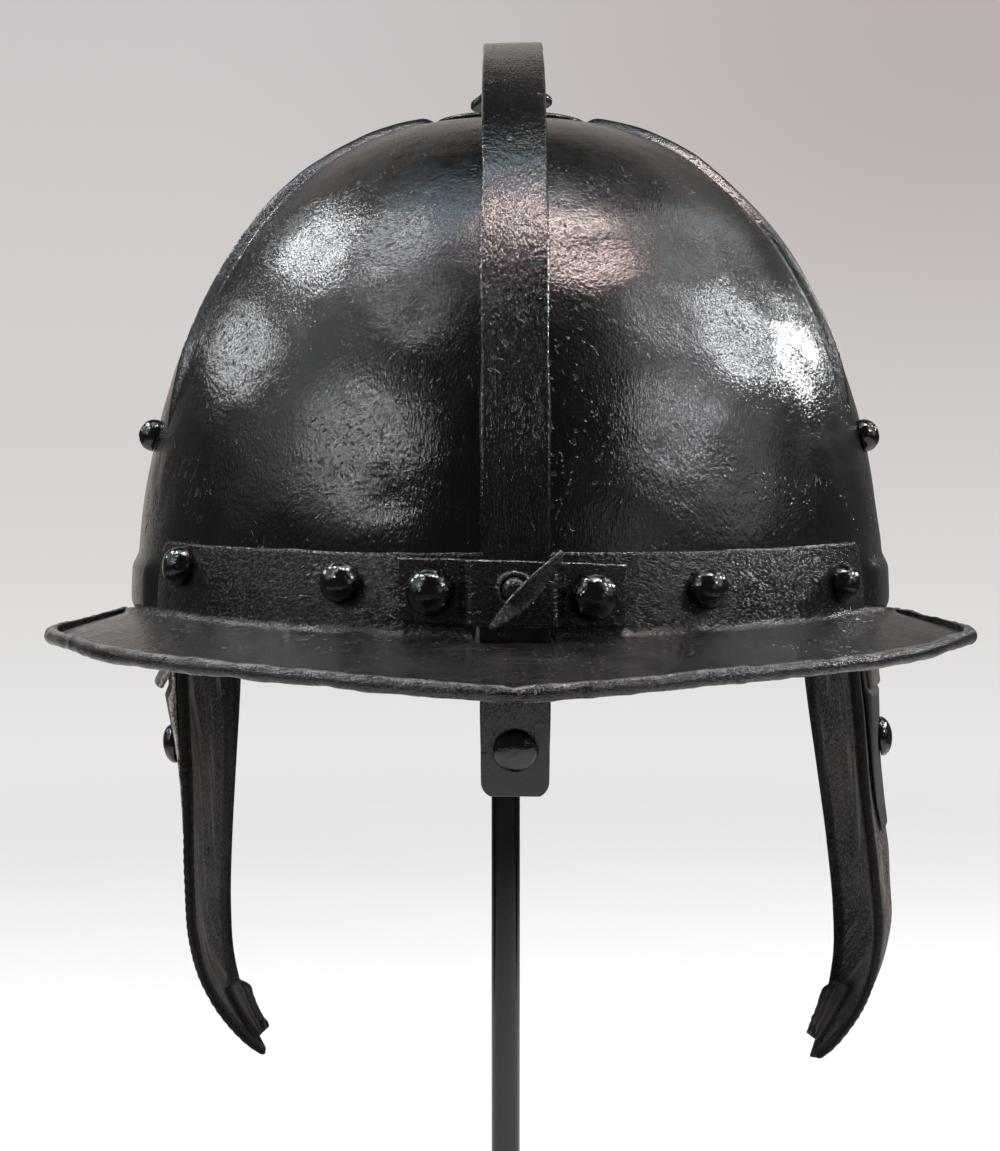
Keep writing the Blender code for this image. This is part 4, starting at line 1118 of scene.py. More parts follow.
class BarPiece(Part):
    """The sliding nasal bar and its knob."""

    RADIUS = 0.1460
    CENTRE_Y = 0.0258
    CENTRE_RISE = 0.0119
    X = 0.0007
    WIDTH = 0.0162
    THICK = 0.0028
    START = -20.0
    KNOB_TURN = -15.2
    # turn in degrees and half-width in millimetres of the cusped end
    END = np.array([(100.5, 8.1), (103.4, 8.25), (105.2, 9.1), (106.4, 10.7), (107.2, 12.1), (107.8, 12.6),
                    (108.4, 11.6), (109.3, 8.7), (110.4, 6.9), (112.0, 5.5), (113.8, 3.4), (115.0, 0.8)])

    def place(self, turn: Number, radius: Number, x: Number) -> Array:
        """Points on the bar's arc.

        Args:
            turn: degrees up from straight ahead.
            radius: distance from the arc's centre.
            x: sideways place.

        Returns:
            Centre minus radius times cosine forward, plus radius times sine up.
        """
        rad = np.radians(turn)
        y = self.CENTRE_Y - radius * np.cos(rad)
        z = BOWL.rim + self.CENTRE_RISE + radius * np.sin(rad)
        return xyz(x + self.X, y, z)

    def half_width(self, turn: Array) -> Array:
        """Half-width along the bar: rounded foot, even shaft, cusped end."""
        foot = np.radians(turn - self.START) * self.RADIUS
        corner = 0.0034
        inset = np.clip(corner - foot, 0.0, corner)
        even = self.WIDTH / 2.0 - corner + np.sqrt(np.maximum(corner**2 - inset**2, 0.0))
        cusp = curve(turn, self.END[:, 0], self.END[:, 1] * 0.001)
        return np.where(turn > self.END[0, 0], cusp, even)

    def build(self) -> None:
        """Make the bar and the knob."""
        span = self.END[-1, 0] - self.START
        shares = edged(300, math.radians(span) * self.RADIUS, 0.0010)
        turn = self.START + span * shares
        extra = [np.linspace(101.0, 114.9, 70), self.START + np.linspace(0, 1.2, 14)]
        turn = np.unique(np.concatenate([turn, *extra]))
        wide = self.half_width(turn)
        across = edged(14, self.WIDTH, 0.0009) * 2.0 - 1.0
        noise = Noise(31)
        wave = xyz(turn * 0.0025, 0.0, 0.0)
        sway = np.sign(across)[None, :] * np.abs(across)[None, :] ** 4 * 0.00012
        x = across[None, :] * wide[:, None] + sway * noise.layered(wave, 0.01, 3)[:, None]
        middle = self.RADIUS - self.THICK / 2.0
        spots = self.place(turn[:, None], middle, x)
        uneven = 0.00008 * noise.layered(spots, 0.011, 3)
        mid = self.place(turn[:, None], middle + uneven, x)
        mid[..., 2] += x * math.tan(math.radians(3.3)) * ramp(60.0, 100.0, turn)[:, None]
        rad = np.radians(turn)[:, None]
        normal = xyz(0.0, -np.cos(rad), np.sin(rad))
        aside = (1.0 - np.abs(across))[None, :] * wide[:, None]
        ends = np.minimum(turn - self.START, self.END[-1, 0] - turn)[:, None]
        near = np.minimum(aside, np.radians(ends) * self.RADIUS)
        half = round_edge(near, self.THICK, 0.0006)
        worn = np.maximum(ramp(0.0011, 0.0002, near), 0.25 * bell(turn, 75.0, 14.0)[:, None])
        grain = xyz(x, rad * self.RADIUS, 0.0)
        self.put(plate(mid, normal, half, worn, grain), Slot.BAR, "nasal_bar", "nasal")
        lean = math.radians(self.KNOB_TURN)
        face = self.place(self.KNOB_TURN, self.RADIUS + BOWL.gap, 0.0)
        knob = Dome(0.0051, 0.0030, 0.00022).at(face, np.array([0.0, -math.cos(lean), math.sin(lean)]), 41)
        self.put(knob, Slot.RIVET, "nasal_knob", "nasal")


@dataclass(frozen=True)
class Dome:
    """Rivet head: a low dome over a short upright edge."""

    radius: float
    height: float
    dent: float = 0.00020

    def at(self, origin: Array, axis: Array, seed: int) -> Surface:
        """Mesh of the head.

        Args:
            origin: centre of its flat underside.
            axis: direction that it faces.
            seed: noise seed of its hammer marks.

        Returns:
            A turned surface: flat below, rounded at the edge, a flattened ellipse above.
        """
        turn = np.radians(np.linspace(0.0, 90.0, 20))
        radius = self.radius * np.cos(turn)
        height = self.height * (0.12 + 0.88 * np.sin(turn))
        under = np.array([(0.0, 0.0), (0.5, 0.0), (0.9, 0.0), (0.985, 0.00008 / self.radius)]) * self.radius
        profile = np.concatenate([under, np.column_stack([radius, height])])
        profile[-1, 0] = 0.0
        worn = np.concatenate([np.zeros(4), 0.35 * bell(np.degrees(turn), 70.0, 30.0)])
        return turned(profile, origin, axis, 44, self.dent, seed, worn)


class RivetSet(Part):
    """All fixed heads on the band, staple, sides and tail."""

    # degrees from the front, or X for the staple's, and rise
    BAND = ((-51.3, 0.0140), (-22.3, 0.0118), (25.8, 0.0102), (51.3, 0.0098))
    SIDE = {Side.LEFT: -78.0, Side.RIGHT: 73.0}
    SIDE_RISE = 0.0469
    STAPLE = (0.0187, 0.0097)
    ROOT = (118.0, 0.0075)
    BAND_HEAD = Dome(0.0050, 0.0050, 0.00010)
    SIDE_HEAD = Dome(0.0043, 0.0046)
    STAPLE_HEAD = Dome(0.0056, 0.0057, 0.00010)
    LAME_HEAD = Dome(0.0032, 0.0022, 0.00006)
    ROOT_HEAD = Dome(0.0034, 0.0024, 0.00006)

    def build(self) -> None:
        """Make each head in its own place."""
        for number, (angle, rise) in enumerate(self.BAND, start=1):
            point, normal = BOWL.point(angle, rise, 2.0 * BOWL.gap + PeakPiece.THICK)
            self.put(self.BAND_HEAD.at(point, normal, 50 + number), Slot.RIVET, "band_rivet_%d" % number)
        for side, angle in self.SIDE.items():
            name = side.name.lower()
            turn = int(side.value)
            point, normal = BOWL.point(angle, self.SIDE_RISE, 0.00005)
            self.put(self.SIDE_HEAD.at(point, normal, 60 + turn), Slot.RIVET, "side_rivet_" + name)
            x = side.value * self.STAPLE[0]
            y = StaplePiece.band_y(x, 2.0 * BOWL.gap + StaplePiece.THICK)
            normal = unit(xyz(x / BOWL.half_width**2, y / BOWL.half_length**2, 0.0))
            point = xyz(x, y, BOWL.rim + self.STAPLE[1] - StaplePiece.SLANT * x)
            self.put(self.STAPLE_HEAD.at(point, normal, 70 + turn), Slot.RIVET, "staple_rivet_" + name)
            for number in range(3):
                self.put(self._tail(number, side), Slot.RIVET, "tail_rivet_%d_%s" % (number + 1, name))
            point, normal = BOWL.point(side.value * self.ROOT[0], self.ROOT[1], BOWL.hem + BOWL.gap)
            self.put(self.ROOT_HEAD.at(point, normal, 80), Slot.RIVET, "tail_rivet_0_" + name)

    def _tail(self, number: int, side: Side) -> Surface:
        """Small head near the end of a lame."""
        turn = side.value * (TailPiece.HALVES[number + 1] - 7.0)
        cuts = TailPiece.CUTS
        share = cuts[number + 1] - 0.1 * (cuts[number + 2] - cuts[number + 1]) - 0.012
        point = TailPiece.surface(turn, share, 0.0006)
        above = TailPiece.surface(turn, share, 0.0016)
        return self.LAME_HEAD.at(point, unit(above - point), 90 + number)


class StaplePiece(Part):
    """The staple over the bar, and the wing screw through it."""

    HALF = 0.0262
    RAISED = 0.0104
    LOW = 0.0026
    HIGH = 0.0174
    SLANT = 0.03
    THICK = 0.0016
    # x and rise of the screw's axis and of the wing's two tips
    SCREW = (0.0005, 0.0110)
    BLADE = ((-0.0050, 0.0023), (0.0113, 0.0198))
    AHEAD = np.array([0.0, -1.0, 0.0])

    def __init__(self, shop: Workshop) -> None:
        super().__init__(shop)
        self.bar_face = BarPiece.CENTRE_Y - BarPiece.RADIUS
        self.seat = np.array([self.SCREW[0], self.bar_face - BOWL.gap, BOWL.rim + self.SCREW[1]])

    @staticmethod
    def band_y(x: Number, offset: float) -> Number:
        """Y of the band's outer face near its middle, pushed out by an offset."""
        a = BOWL.half_width + BOWL.gap + PeakPiece.THICK + offset
        b = BOWL.half_length + BOWL.gap + PeakPiece.THICK + offset
        return -b * np.sqrt(1.0 - (x / a) ** 2)

    def build(self) -> None:
        """Make the staple, its screw hole and the screw."""
        share = edged(110, 2.0 * self.HALF, 0.0012)
        x = (share * 2.0 - 1.0) * self.HALF
        low = self.band_y(x, BOWL.gap + self.THICK / 2.0)
        high = self.bar_face - BOWL.gap - self.THICK / 2.0
        step = ramp(self.RAISED + 0.0016, self.RAISED - 0.0013, np.abs(x))
        y = low + (high - low) * step
        rows = edged(34, self.HIGH - self.LOW, 0.0010)
        rise = self.LOW + (self.HIGH - self.LOW) * rows
        xs, rises = np.meshgrid(x, rise)
        noise = Noise(37)
        waver = 0.00016 * noise.layered(xyz(xs, 0.0, 0.0), 0.007, 3)
        rises = rises + waver * (rows[:, None] * 2.0 - 1.0)
        mid = xyz(xs, y, BOWL.rim + rises - self.SLANT * xs)
        normal = grid_normals(mid, self.AHEAD)
        away = np.hypot(mid[..., 0] - self.SCREW[0], mid[..., 2] - BOWL.rim - self.SCREW[1])
        burr = 0.00085 * bell(away, 0.0036, 0.0006) - 0.00018 * bell(away, 0.0, 0.0026)
        aside = inset(share, rows[:, None], 2.0 * self.HALF, self.HIGH - self.LOW)
        half = round_edge(aside, self.THICK, 0.0004)
        mid = mid + normal * (0.5 * burr + 0.00009 * noise.layered(mid, 0.0045, 3))[..., None]
        half = half + 0.5 * burr * ramp(0.0, 0.001, aside)
        worn = np.maximum(ramp(0.0010, 0.0002, aside), bell(away, 0.0036, 0.0007))
        worn = np.maximum(worn, 0.5 * bell(np.abs(xs), self.RAISED - 0.0008, 0.0008))
        grain = xyz(rises, xs, 0.0)
        staple = plate(mid, normal, half, worn, grain).build("helmet_staple")
        hole = self._pin(0.0024, -0.003, 0.004, 40).build("hole_tool")
        cut_or_join(staple, hole, "DIFFERENCE")
        self.shop.add(staple, Slot.STAPLE, "helmet", "staple")
        self._screw()

    def _pin(self, radius: float, start: float, end: float, around: int) -> Surface:
        """Plain cylinder on the screw's axis, from the bar's face outward."""
        profile = np.array([(0.0, start), (radius, start), (radius, end), (0.0, end)])
        return turned(profile, self.seat, self.AHEAD, around, 0.0, 1, np.zeros(4))

    def _screw(self) -> None:
        """Shank, boss and twisted leaf-shaped wing, joined into one piece."""
        length = self.THICK + BOWL.gap
        profile = np.array([
            (0.0, 0.0), (0.0018, 0.0), (0.0020, 0.0002), (0.0020, length - 0.0001), (0.0026, length),
            (0.0028, length + 0.0002), (0.0029, length + 0.0008), (0.0028, length + 0.0018),
            (0.0025, length + 0.0026), (0.0020, length + 0.0031), (0.0012, length + 0.0034),
            (0.0, length + 0.0035)])
        worn = np.array([0, 0, 0, 0, 0, 0.3, 0.2, 0.2, 0.4, 0.6, 0.3, 0.2])
        boss = turned(profile, self.seat, self.AHEAD, 40, 0.00008, 43, worn).build("helmet_wing_screw")
        low = np.array(self.BLADE[0])
        high = np.array(self.BLADE[1])
        along = (high - low) / np.linalg.norm(high - low)
        across = np.array([-along[1], along[0]])
        size = float(np.linalg.norm(high - low))
        share = edged(60, size, 0.0010)[:, None]
        over = edged(10, 0.0040, 0.0007)[None, :] * 2.0 - 1.0
        wide = 0.0003 + 0.0021 * np.sin(np.pi * (0.04 + 0.92 * share) ** 0.92) ** 0.85
        twist = np.radians(8.0 + 22.0 * ramp(0.35, 0.95, share))
        front = self.bar_face - BOWL.gap - self.THICK - BOWL.gap - 0.0035
        bow = 0.0006 * np.sin(np.pi * share)
        offset = over * wide
        flat = offset * np.cos(twist) - bow
        spot = low[None, None, :] + (high - low) * share[..., None] + across * flat[..., None]
        depth = front - offset * np.sin(twist) - 0.0010 * ramp(0.3, 1.0, share)
        mid = xyz(spot[..., 0], depth, BOWL.rim + spot[..., 1])
        normal = grid_normals(mid, self.AHEAD)
        aside = np.minimum((1.0 - np.abs(over)) * wide, np.minimum(share, 1.0 - share) * size)
        half = round_edge(aside, 0.0014, 0.0008)
        rub = np.maximum(1.1 * ramp(0.0009, 0.0001, aside), 0.85)
        grain = xyz(offset, share * size, 0.0)
        blade = plate(mid, normal, half, rub, grain).build("blade_tool")
        cut_or_join(boss, blade, "UNION")
        self.shop.add(boss, Slot.STAPLE, "screw", "wing_screw")


@dataclass(frozen=True)
class CheekForm:
    """What differs between the two cheekpieces.

    Attributes:
        tilt: degrees that the plate swings out.
        bulge: extra bulge of its middle.
        shift: distance out from the skull.
        twist: shift of the rear edge near the top and near the tip.
        rivet: rise of the domed head.
        dim: painted shade all over the face, deeper toward the bottom.
        slim: width of the dark borders.
        lift: how far the hanger's end lifts away.
        hanger_shade: painted shade on the hanger.
        backing: rub of the backing, painted shade where it is below zero, and how much more its front edge
            has.
    """

    tilt: float = 0.0
    bulge: float = 0.0
    shift: float = 0.0
    twist: tuple[float, float] = (0.0, 0.0)
    rivet: float = -0.0380
    dim: float = 0.10
    slim: float = 1.0
    lift: float = 0.0021
    hanger_shade: float = 0.0
    backing: tuple[float, float] = (0.15, 1.15)


class CheekPiece(Part):
    """One leaf-shaped cheekpiece with its rivet head, turned lip and leather hanger."""

    # rise, Y of the front and rear edge, X of the front and rear edge, bulge
    STATIONS = np.array([
        (-0.1305, 0.0165, 0.0195, 0.0706, 0.0708, 0.0003),
        (-0.1260, 0.0120, 0.0240, 0.0742, 0.0742, 0.0012),
        (-0.1180, 0.0050, 0.0300, 0.0795, 0.0783, 0.0020),
        (-0.1060, -0.0040, 0.0360, 0.0846, 0.0824, 0.0024),
        (-0.0920, -0.0120, 0.0410, 0.0872, 0.0840, 0.0026),
        (-0.0750, -0.0170, 0.0440, 0.0876, 0.0840, 0.0030),
        (-0.0500, -0.0200, 0.0470, 0.0874, 0.0828, 0.0046),
        (-0.0240, -0.0215, 0.0485, 0.0880, 0.0812, 0.0080),
        (-0.0050, -0.0220, 0.0490, 0.0884, 0.0808, 0.0090)])
    FORMS = {
        Side.LEFT: CheekForm(),
        Side.RIGHT: CheekForm(tilt=7.2, bulge=0.0060, shift=0.0026, twist=(0.0040, -0.0022), rivet=-0.0372,
                              dim=0.0, slim=0.5, lift=0.0, hanger_shade=0.55, backing=(-0.6, 0.0))}
    THICK = 0.0020

    def __init__(self, shop: Workshop, side: Side) -> None:
        super().__init__(shop)
        self.side = side
        self.form = self.FORMS[side]
        self.name = side.name.lower()
        self.noise = Noise(47 + int(side.value))

    def local(self, rise: Number, share: Number) -> Array:
        """Middle surface of an untilted right-hand cheekpiece.

        Args:
            rise: heights below the rim line.
            share: 0 at the front edge, 1 at the rear one.

        Returns:
            Straight blend between the edges, bulged outward by four s times one minus s.
        """
        front_y, rear_y, front_x, rear_x, bulge = [
            curve(rise, self.STATIONS[:, 0], self.STATIONS[:, k]) for k in range(1, 6)]
        rear_x = rear_x + np.interp(-rise, (0.005, 0.120), self.form.twist)
        bulge = bulge + self.form.bulge * ramp(-0.130, -0.085, rise) * ramp(-0.005, -0.070, rise)
        x = front_x + (rear_x - front_x) * share + bulge * 4.0 * share * (1.0 - share)
        y = front_y + (rear_y - front_y) * share
        return xyz(x, y, rise)

    def tilt(self, points: Array) -> Array:
        """Swing points out about the cheekpiece's top and mirror them for the left."""
        rad = math.radians(self.form.tilt)
        hinge_x, hinge_z = 0.0900, -0.0050
        dx = points[..., 0] - hinge_x
        dz = points[..., 2] - hinge_z
        x = hinge_x + dx * math.cos(rad) - dz * math.sin(rad) + self.form.shift
        z = hinge_z + dz * math.cos(rad) + dx * math.sin(rad)
        return xyz(x * self.side.value, points[..., 1], z + BOWL.rim)

    def out(self) -> Array:
        """Rough outward direction."""
        return np.array([self.side.value, 0.0, -0.2])

    def build(self) -> None:
        """Make the plate and what is fixed to it."""
        length = 0.1255
        down = edged(150, length, 0.0012)[:, None]
        rise = -0.0050 - length * down
        over = edged(46, 0.070, 0.0016)[None, :]
        flat = self.local(rise, over)
        wide = np.linalg.norm(flat[:, -1:] - flat[:, :1], axis=-1)
        front = over * wide
        rear = (1.0 - over) * wide
        near = inset(over, down, wide, length)
        notch = 0.5 + 0.5 * np.sin(rise / 0.00042 + 3.0 * self.noise.value(flat, 0.02))
        rope = 0.00055 * bell(front, 0.0013, 0.0010) * (1.0 - 0.35 * notch * ramp(-0.045, -0.060, rise))
        bead = 0.0005 * bell(rear, 0.0014, 0.0011)
        fade = ramp(0.0, 0.004, wide * 0.3)
        half = round_edge(near, self.THICK, 0.0009) + (rope + bead) * fade * ramp(0.0, 0.0006, near)
        mid = self.tilt(flat)
        normal = grid_normals(mid, self.out())
        groove = -0.00035 * bell(front, 0.0062, 0.0013) * ramp(-0.085, -0.06, rise)
        uneven = 0.00022 * self.noise.layered(mid, 0.017, 3) * ramp(0.0, 0.004, near)
        mid = mid + normal * (groove + uneven)[..., None]
        # Painted shade: dim darkens the face toward the shaded colour, deeper toward the bottom; border
        # darkens the edges the same way.
        dim = self.form.dim * (1.0 + 0.6 * ramp(-0.055, -0.100, rise))
        slim = self.form.slim
        border = np.maximum(ramp(0.0092, 0.0070, front / slim), 0.85 * ramp(0.0110, 0.0080, rear / slim))
        worn = 0.25 * bell(front, 0.0038, 0.0012) - np.maximum(dim, 0.85 * border)
        grain = xyz(0.8 * front, rise, 0.0)
        self.put(plate(mid, normal, half, worn, grain), Slot.CHEEK, "cheekpiece_" + self.name)
        self._rivet()
        self._lip()
        self._hanger()

    def _face(self, rise: Number, y: Number, offset: float) -> tuple[Array, Array]:
        """Points and normals on a face of the plate, from rises and Y places."""
        front = curve(rise, self.STATIONS[:, 0], self.STATIONS[:, 1])
        rear = curve(rise, self.STATIONS[:, 0], self.STATIONS[:, 2])
        share = (y - front) / (rear - front)
        mid = self.tilt(self.local(rise, share))
        step = 0.0005
        down = self.tilt(self.local(rise - step, share)) - mid
        over = self.tilt(self.local(rise, share + step * 10.0)) - mid
        normal = unit(np.cross(over, down))
        normal = normal * np.sign(np.sum(normal * self.out(), axis=-1, keepdims=True))
        return mid + normal * offset, normal

    def _rivet(self) -> None:
        """Domed head on the outside."""
        point, normal = self._face(self.form.rivet, -0.0020, self.THICK / 2.0 + 0.0013)
        head = Dome(0.0055, 0.0035, 0.00012).at(point, normal, 77)
        self.put(head, Slot.RIVET, "cheek_rivet_" + self.name)

    def _lip(self) -> None:
        """Small lip turned inward at the rear edge near the tip."""
        down = edged(30, 0.016, 0.0008)[:, None]
        over = edged(16, 0.012, 0.0008)[None, :]
        length, part = 0.0150, 0.30
        rise = -0.1125 - length * down
        front = curve(rise, self.STATIONS[:, 0], self.STATIONS[:, 1])
        rear = curve(rise, self.STATIONS[:, 0], self.STATIONS[:, 2])
        share = 0.56 + part * over
        base, normal = self._face(rise, front + (rear - front) * share, -self.THICK / 2.0 - 0.0004 - 0.0012)
        ragged = 0.0006 * self.noise.layered(base, 0.004, 3)
        curl = 0.0030 * ramp(0.35, 1.0, over) ** 1.4 * ramp(0.0, 0.25, down) + ragged * ramp(0.3, 1.0, over)
        mid = base - normal * np.maximum(curl, 0.0)[..., None]
        near = inset(over, down, (rear - front) * part, length)
        half = round_edge(near, 0.0016, 0.0007)
        worn = ramp(0.0012, 0.0002, near)
        lip = plate(mid, grid_normals(mid, self.out()), half, worn, xyz(share, rise, 0.0) * 0.02)
        self.put(lip, Slot.CHEEK, "chin_tab_" + self.name)

    def _hanger(self) -> None:
        """Leather strip from the side rivet to the plate, its worn end lifting away."""
        length, wide = 0.0775, 0.0190
        down = edged(60, 0.078, 0.0012)[:, None]
        over = edged(12, wide, 0.0012)[None, :]
        rise = 0.0560 - length * down
        y = -0.0150 + 0.0070 * down + (over - 0.5) * (wide - 0.0016 * ramp(0.9, 1.0, down))
        depth = np.sqrt(1.0 - (y / (BOWL.half_length * 0.985)) ** 2)
        high = BOWL.share(np.maximum(rise, 0.0)) * BOWL.half_width * depth - BOWL.wall - 0.0014 - 0.0009
        low, _ = self._face(np.clip(rise, -0.0220, -0.0055), y, self.THICK / 2.0 + 0.0015 + 0.0009)
        low_x = np.abs(low[..., 0])
        share = ramp(0.006, -0.006, rise)
        x = high + (low_x - high) * share + self.form.lift * ramp(-0.0165, -0.0215, rise)
        mid = xyz(x * self.side.value, y, rise + BOWL.rim)
        near = inset(over, down, wide, length)
        half = round_edge(near, 0.0018, 0.0009)
        # Painted shade: the form's hanger amount is taken off the rub, darkening the strip toward the shaded
        # colour.
        worn = np.maximum(ramp(0.002, 0.0, near), 0.7 * ramp(-0.012, -0.020, rise)) - self.form.hanger_shade
        strip = plate(mid, grid_normals(mid, self.out()), half, worn, xyz(y, rise, 0.0))
        self.put(strip.joined(self._backing()), Slot.STRAP, "cheek_strap_" + self.name)

    def _backing(self) -> Surface:
        """Pale leather lying on the plate, from under the strap to below the rivet, thinning downward."""
        length, wide = 0.0540, 0.0170
        down = edged(56, length, 0.0010)[:, None]
        over = edged(12, wide, 0.0010)[None, :]
        rise = -0.0080 - length * down
        thick = np.interp(-rise, (0.0215, 0.0240, 0.0300, 0.0370, 0.0480, 0.0620),
                          (0.0010, 0.0022, 0.0016, 0.0010, 0.0006, 0.0003))
        y = -0.0098 + 0.0060 * down + (over - 0.5) * (0.0180 - 0.0030 * ramp(0.8, 1.0, down))
        near = inset(over, down, wide, length)
        mid, normal = self._face(rise, y, self.THICK / 2.0 + 0.0003)
        mid = mid + normal * (0.5 * thick + 0.00006 * self.noise.layered(mid, 0.006, 3))[..., None]
        half = round_edge(near, 0.0010, 0.0005) * thick / 0.0010
        # Painted shade where the plain rub is below zero, as on the right.
        plain, pale = self.form.backing
        worn = plain + pale * ramp(0.0022, 0.0010, over * wide)
        return plate(mid, normal, half, worn, xyz(y, rise, 0.0))


class TailPiece(Part):
    """The four lames of the neck guard."""

    LENGTH = 0.0900
    SIDE_LENGTH = 0.0140
    SLOPE = math.radians(25.0)
    HALVES = (60.5, 55.0, 48.0, 40.0)
    CUTS = (0.0, 0.28, 0.53, 0.77, 1.0)
    THICK = 0.0012
    STEP = 0.0021

    @classmethod
    def surface(cls, turn: Number, share: Number, lift: Number) -> Array:
        """Points on the tail's flare.

        Args:
            turn: degrees from straight back.
            share: share of the way from the rim to the tail's edge.
            lift: distance above the flare.

        Returns:
            The rim's ellipse pushed back and down by a reach that is longest at the middle.
        """
        rad = np.radians(turn)
        reach = cls.SIDE_LENGTH + (cls.LENGTH - cls.SIDE_LENGTH) * np.cos(rad * 90.0 / 76.0) ** 2
        run = reach * share
        away = unit(xyz(0.55 * np.sin(rad), np.cos(rad) + 0.12, 0.0))
        root = xyz((BOWL.half_width - 0.0034) * np.sin(rad), (BOWL.half_length - 0.0034) * np.cos(rad),
                   BOWL.rim - 0.0030)
        out = run * math.cos(cls.SLOPE) + lift * math.sin(cls.SLOPE)
        drop = lift * math.cos(cls.SLOPE) - run * math.sin(cls.SLOPE)
        return root + away * out[..., None] + UP * drop[..., None]

    def build(self) -> None:
        """Make the four lames."""
        for number in range(4):
            self._lame(number)

    def _lame(self, number: int) -> None:
        """One lame, its top edge tucked under the one above and its free edge rounded."""
        half_angle = self.HALVES[number]
        over = edged(150, 0.20, 0.0010)[None, :]
        turn = (over * 2.0 - 1.0) * half_angle
        start, end = self.CUTS[number], self.CUTS[number + 1]
        lap = 0.2 * (end - start) if number else 0.0
        down = edged(26, 0.025, 0.0008)[:, None]
        share = start - lap + (end - start + lap) * down
        lift = -self.STEP * (1.0 - down) if number else -0.0006 * (1.0 - down)
        mid = self.surface(turn, share, lift - self.THICK / 2.0)
        if number == 0:
            mid = self._tongue(mid, turn)
        noise = Noise(61 + number)
        normal = grid_normals(mid, np.array([0.0, 0.3, 1.0]))
        edge_low = np.linalg.norm(mid - mid[-1:], axis=-1)
        edge_top = np.linalg.norm(mid - mid[:1], axis=-1)
        wide = np.linalg.norm(mid[:, -1:] - mid[:, :1], axis=-1)
        sides = np.minimum(over, 1.0 - over) * wide * 1.1
        near = np.minimum(np.minimum(edge_low, edge_top), sides)
        half = round_edge(near, self.THICK, 0.0006)
        if number == 3:
            half = half + 0.0007 * bell(edge_low, 0.0014, 0.0009) * ramp(0.0, 0.0006, near)
        uneven = 0.00014 * noise.layered(mid, 0.018, 3) * ramp(0.0, 0.006, edge_top) * ramp(0.0, 0.004, near)
        mid = mid + normal * uneven[..., None]
        worn = np.maximum(ramp(0.0020, 0.0003, near), 0.3 * ramp(0.008, 0.002, edge_low))
        grain = xyz(edge_low, turn * 0.0017, 0.0)
        self.put(plate(mid, normal, half, worn, grain), Slot.TAIL, "tail_lame_%d" % (number + 1))

    def _tongue(self, mid: Array, turn: Array) -> Array:
        """Add the upright strip of the first lame that lies inside the skull's rim."""
        rise = np.array([0.0085, 0.0081, 0.0070, 0.0050, 0.0030, 0.0010, 0.0])[:, None]
        depth = -BOWL.wall - 0.0009 - self.THICK / 2.0
        inside = BOWL.point(180.0 - turn, rise, depth)[0]
        t = np.linspace(0.0, 1.0, 7)[1:-1, None, None]
        corner = (inside[-1:] + mid[2:3]) / 2.0 - UP * 0.0006
        bend = (1 - t) ** 2 * inside[-1:] + 2 * t * (1 - t) * corner + t * t * mid[4:5]
        return np.concatenate([inside, bend, mid[5:]], axis=0)


class StandPiece(Part):
    """The plain rod, base and pad."""

    ROD = 0.0040
    BASE = 0.0800
    BASE_HEIGHT = 0.0100
    PAD = 0.0340
    PAD_DEPTH = 0.0060

    def _lathe(self, name: str, profile: list[tuple[float, float]], around: int, slot: Slot, node: str,
               dent: float = 0.0, aside: float = 0.0) -> None:
        """Turn one piece about an upright axis, aside of the origin along X."""
        rows = np.array(profile)
        mesh = turned(rows, np.array([aside, 0.0, 0.0]), UP, around, dent, 5, np.zeros(len(rows)))
        self.shop.add(mesh.build(name), slot, "helmet", node)

    @staticmethod
    def _step(radius: float, low: float, high: float, bevel: float) -> list[tuple[float, float]]:
        """Profile of a disc or rod with rounded rims, closed on the axis."""
        turn = np.radians(np.linspace(0.0, 90.0, 7))
        bottom = [(radius - bevel + bevel * math.sin(t), low + bevel - bevel * math.cos(t)) for t in turn]
        top = [(radius - bevel + bevel * math.cos(t), high - bevel + bevel * math.sin(t)) for t in turn]
        flat = (0.4, 0.8, 0.97)
        inner = radius - bevel
        return ([(0.0, low)] + [(inner * f, low) for f in flat] + bottom + top
                + [(inner * f, high) for f in flat[::-1]] + [(0.0, high)])

    def build(self) -> None:
        """Make the three pieces."""
        top = BOWL.rim + float(BOWL.rise(self.PAD / BOWL.half_width)) - BOWL.wall - 0.0026
        rod = self._step(self.ROD, self.BASE_HEIGHT + BOWL.gap, top - self.PAD_DEPTH - BOWL.gap, 0.0004)
        self._lathe("stand_rod_shape", rod, 64, Slot.STAND, "stand_rod", aside=-0.0012)
        base = self._step(self.BASE, 0.0, self.BASE_HEIGHT, 0.0016)
        self._lathe("stand_base_shape", base, 192, Slot.STAND, "stand_base")
        # shares of the radius with the drop below the top, then those that follow the bowl's inside
        edge = ((0.0, self.PAD_DEPTH), (0.5, self.PAD_DEPTH), (0.84, self.PAD_DEPTH), (0.93, 0.0045),
                (0.985, 0.0025), (1.0, 0.0008), (0.985, 0.0))
        pad = [(self.PAD * share, top - drop) for share, drop in edge]
        for share in (0.92, 0.82, 0.72, 0.62, 0.5, 0.38, 0.2, 0.0):
            radius = self.PAD * share
            pad.append((radius, BOWL.rim + float(BOWL.rise(radius / BOWL.half_width)) - BOWL.wall - 0.0021))
        self._lathe("stand_pad_shape", pad, 96, Slot.PAD, "stand_pad", 0.0002)


# ---------------------------------------------------------------- studio


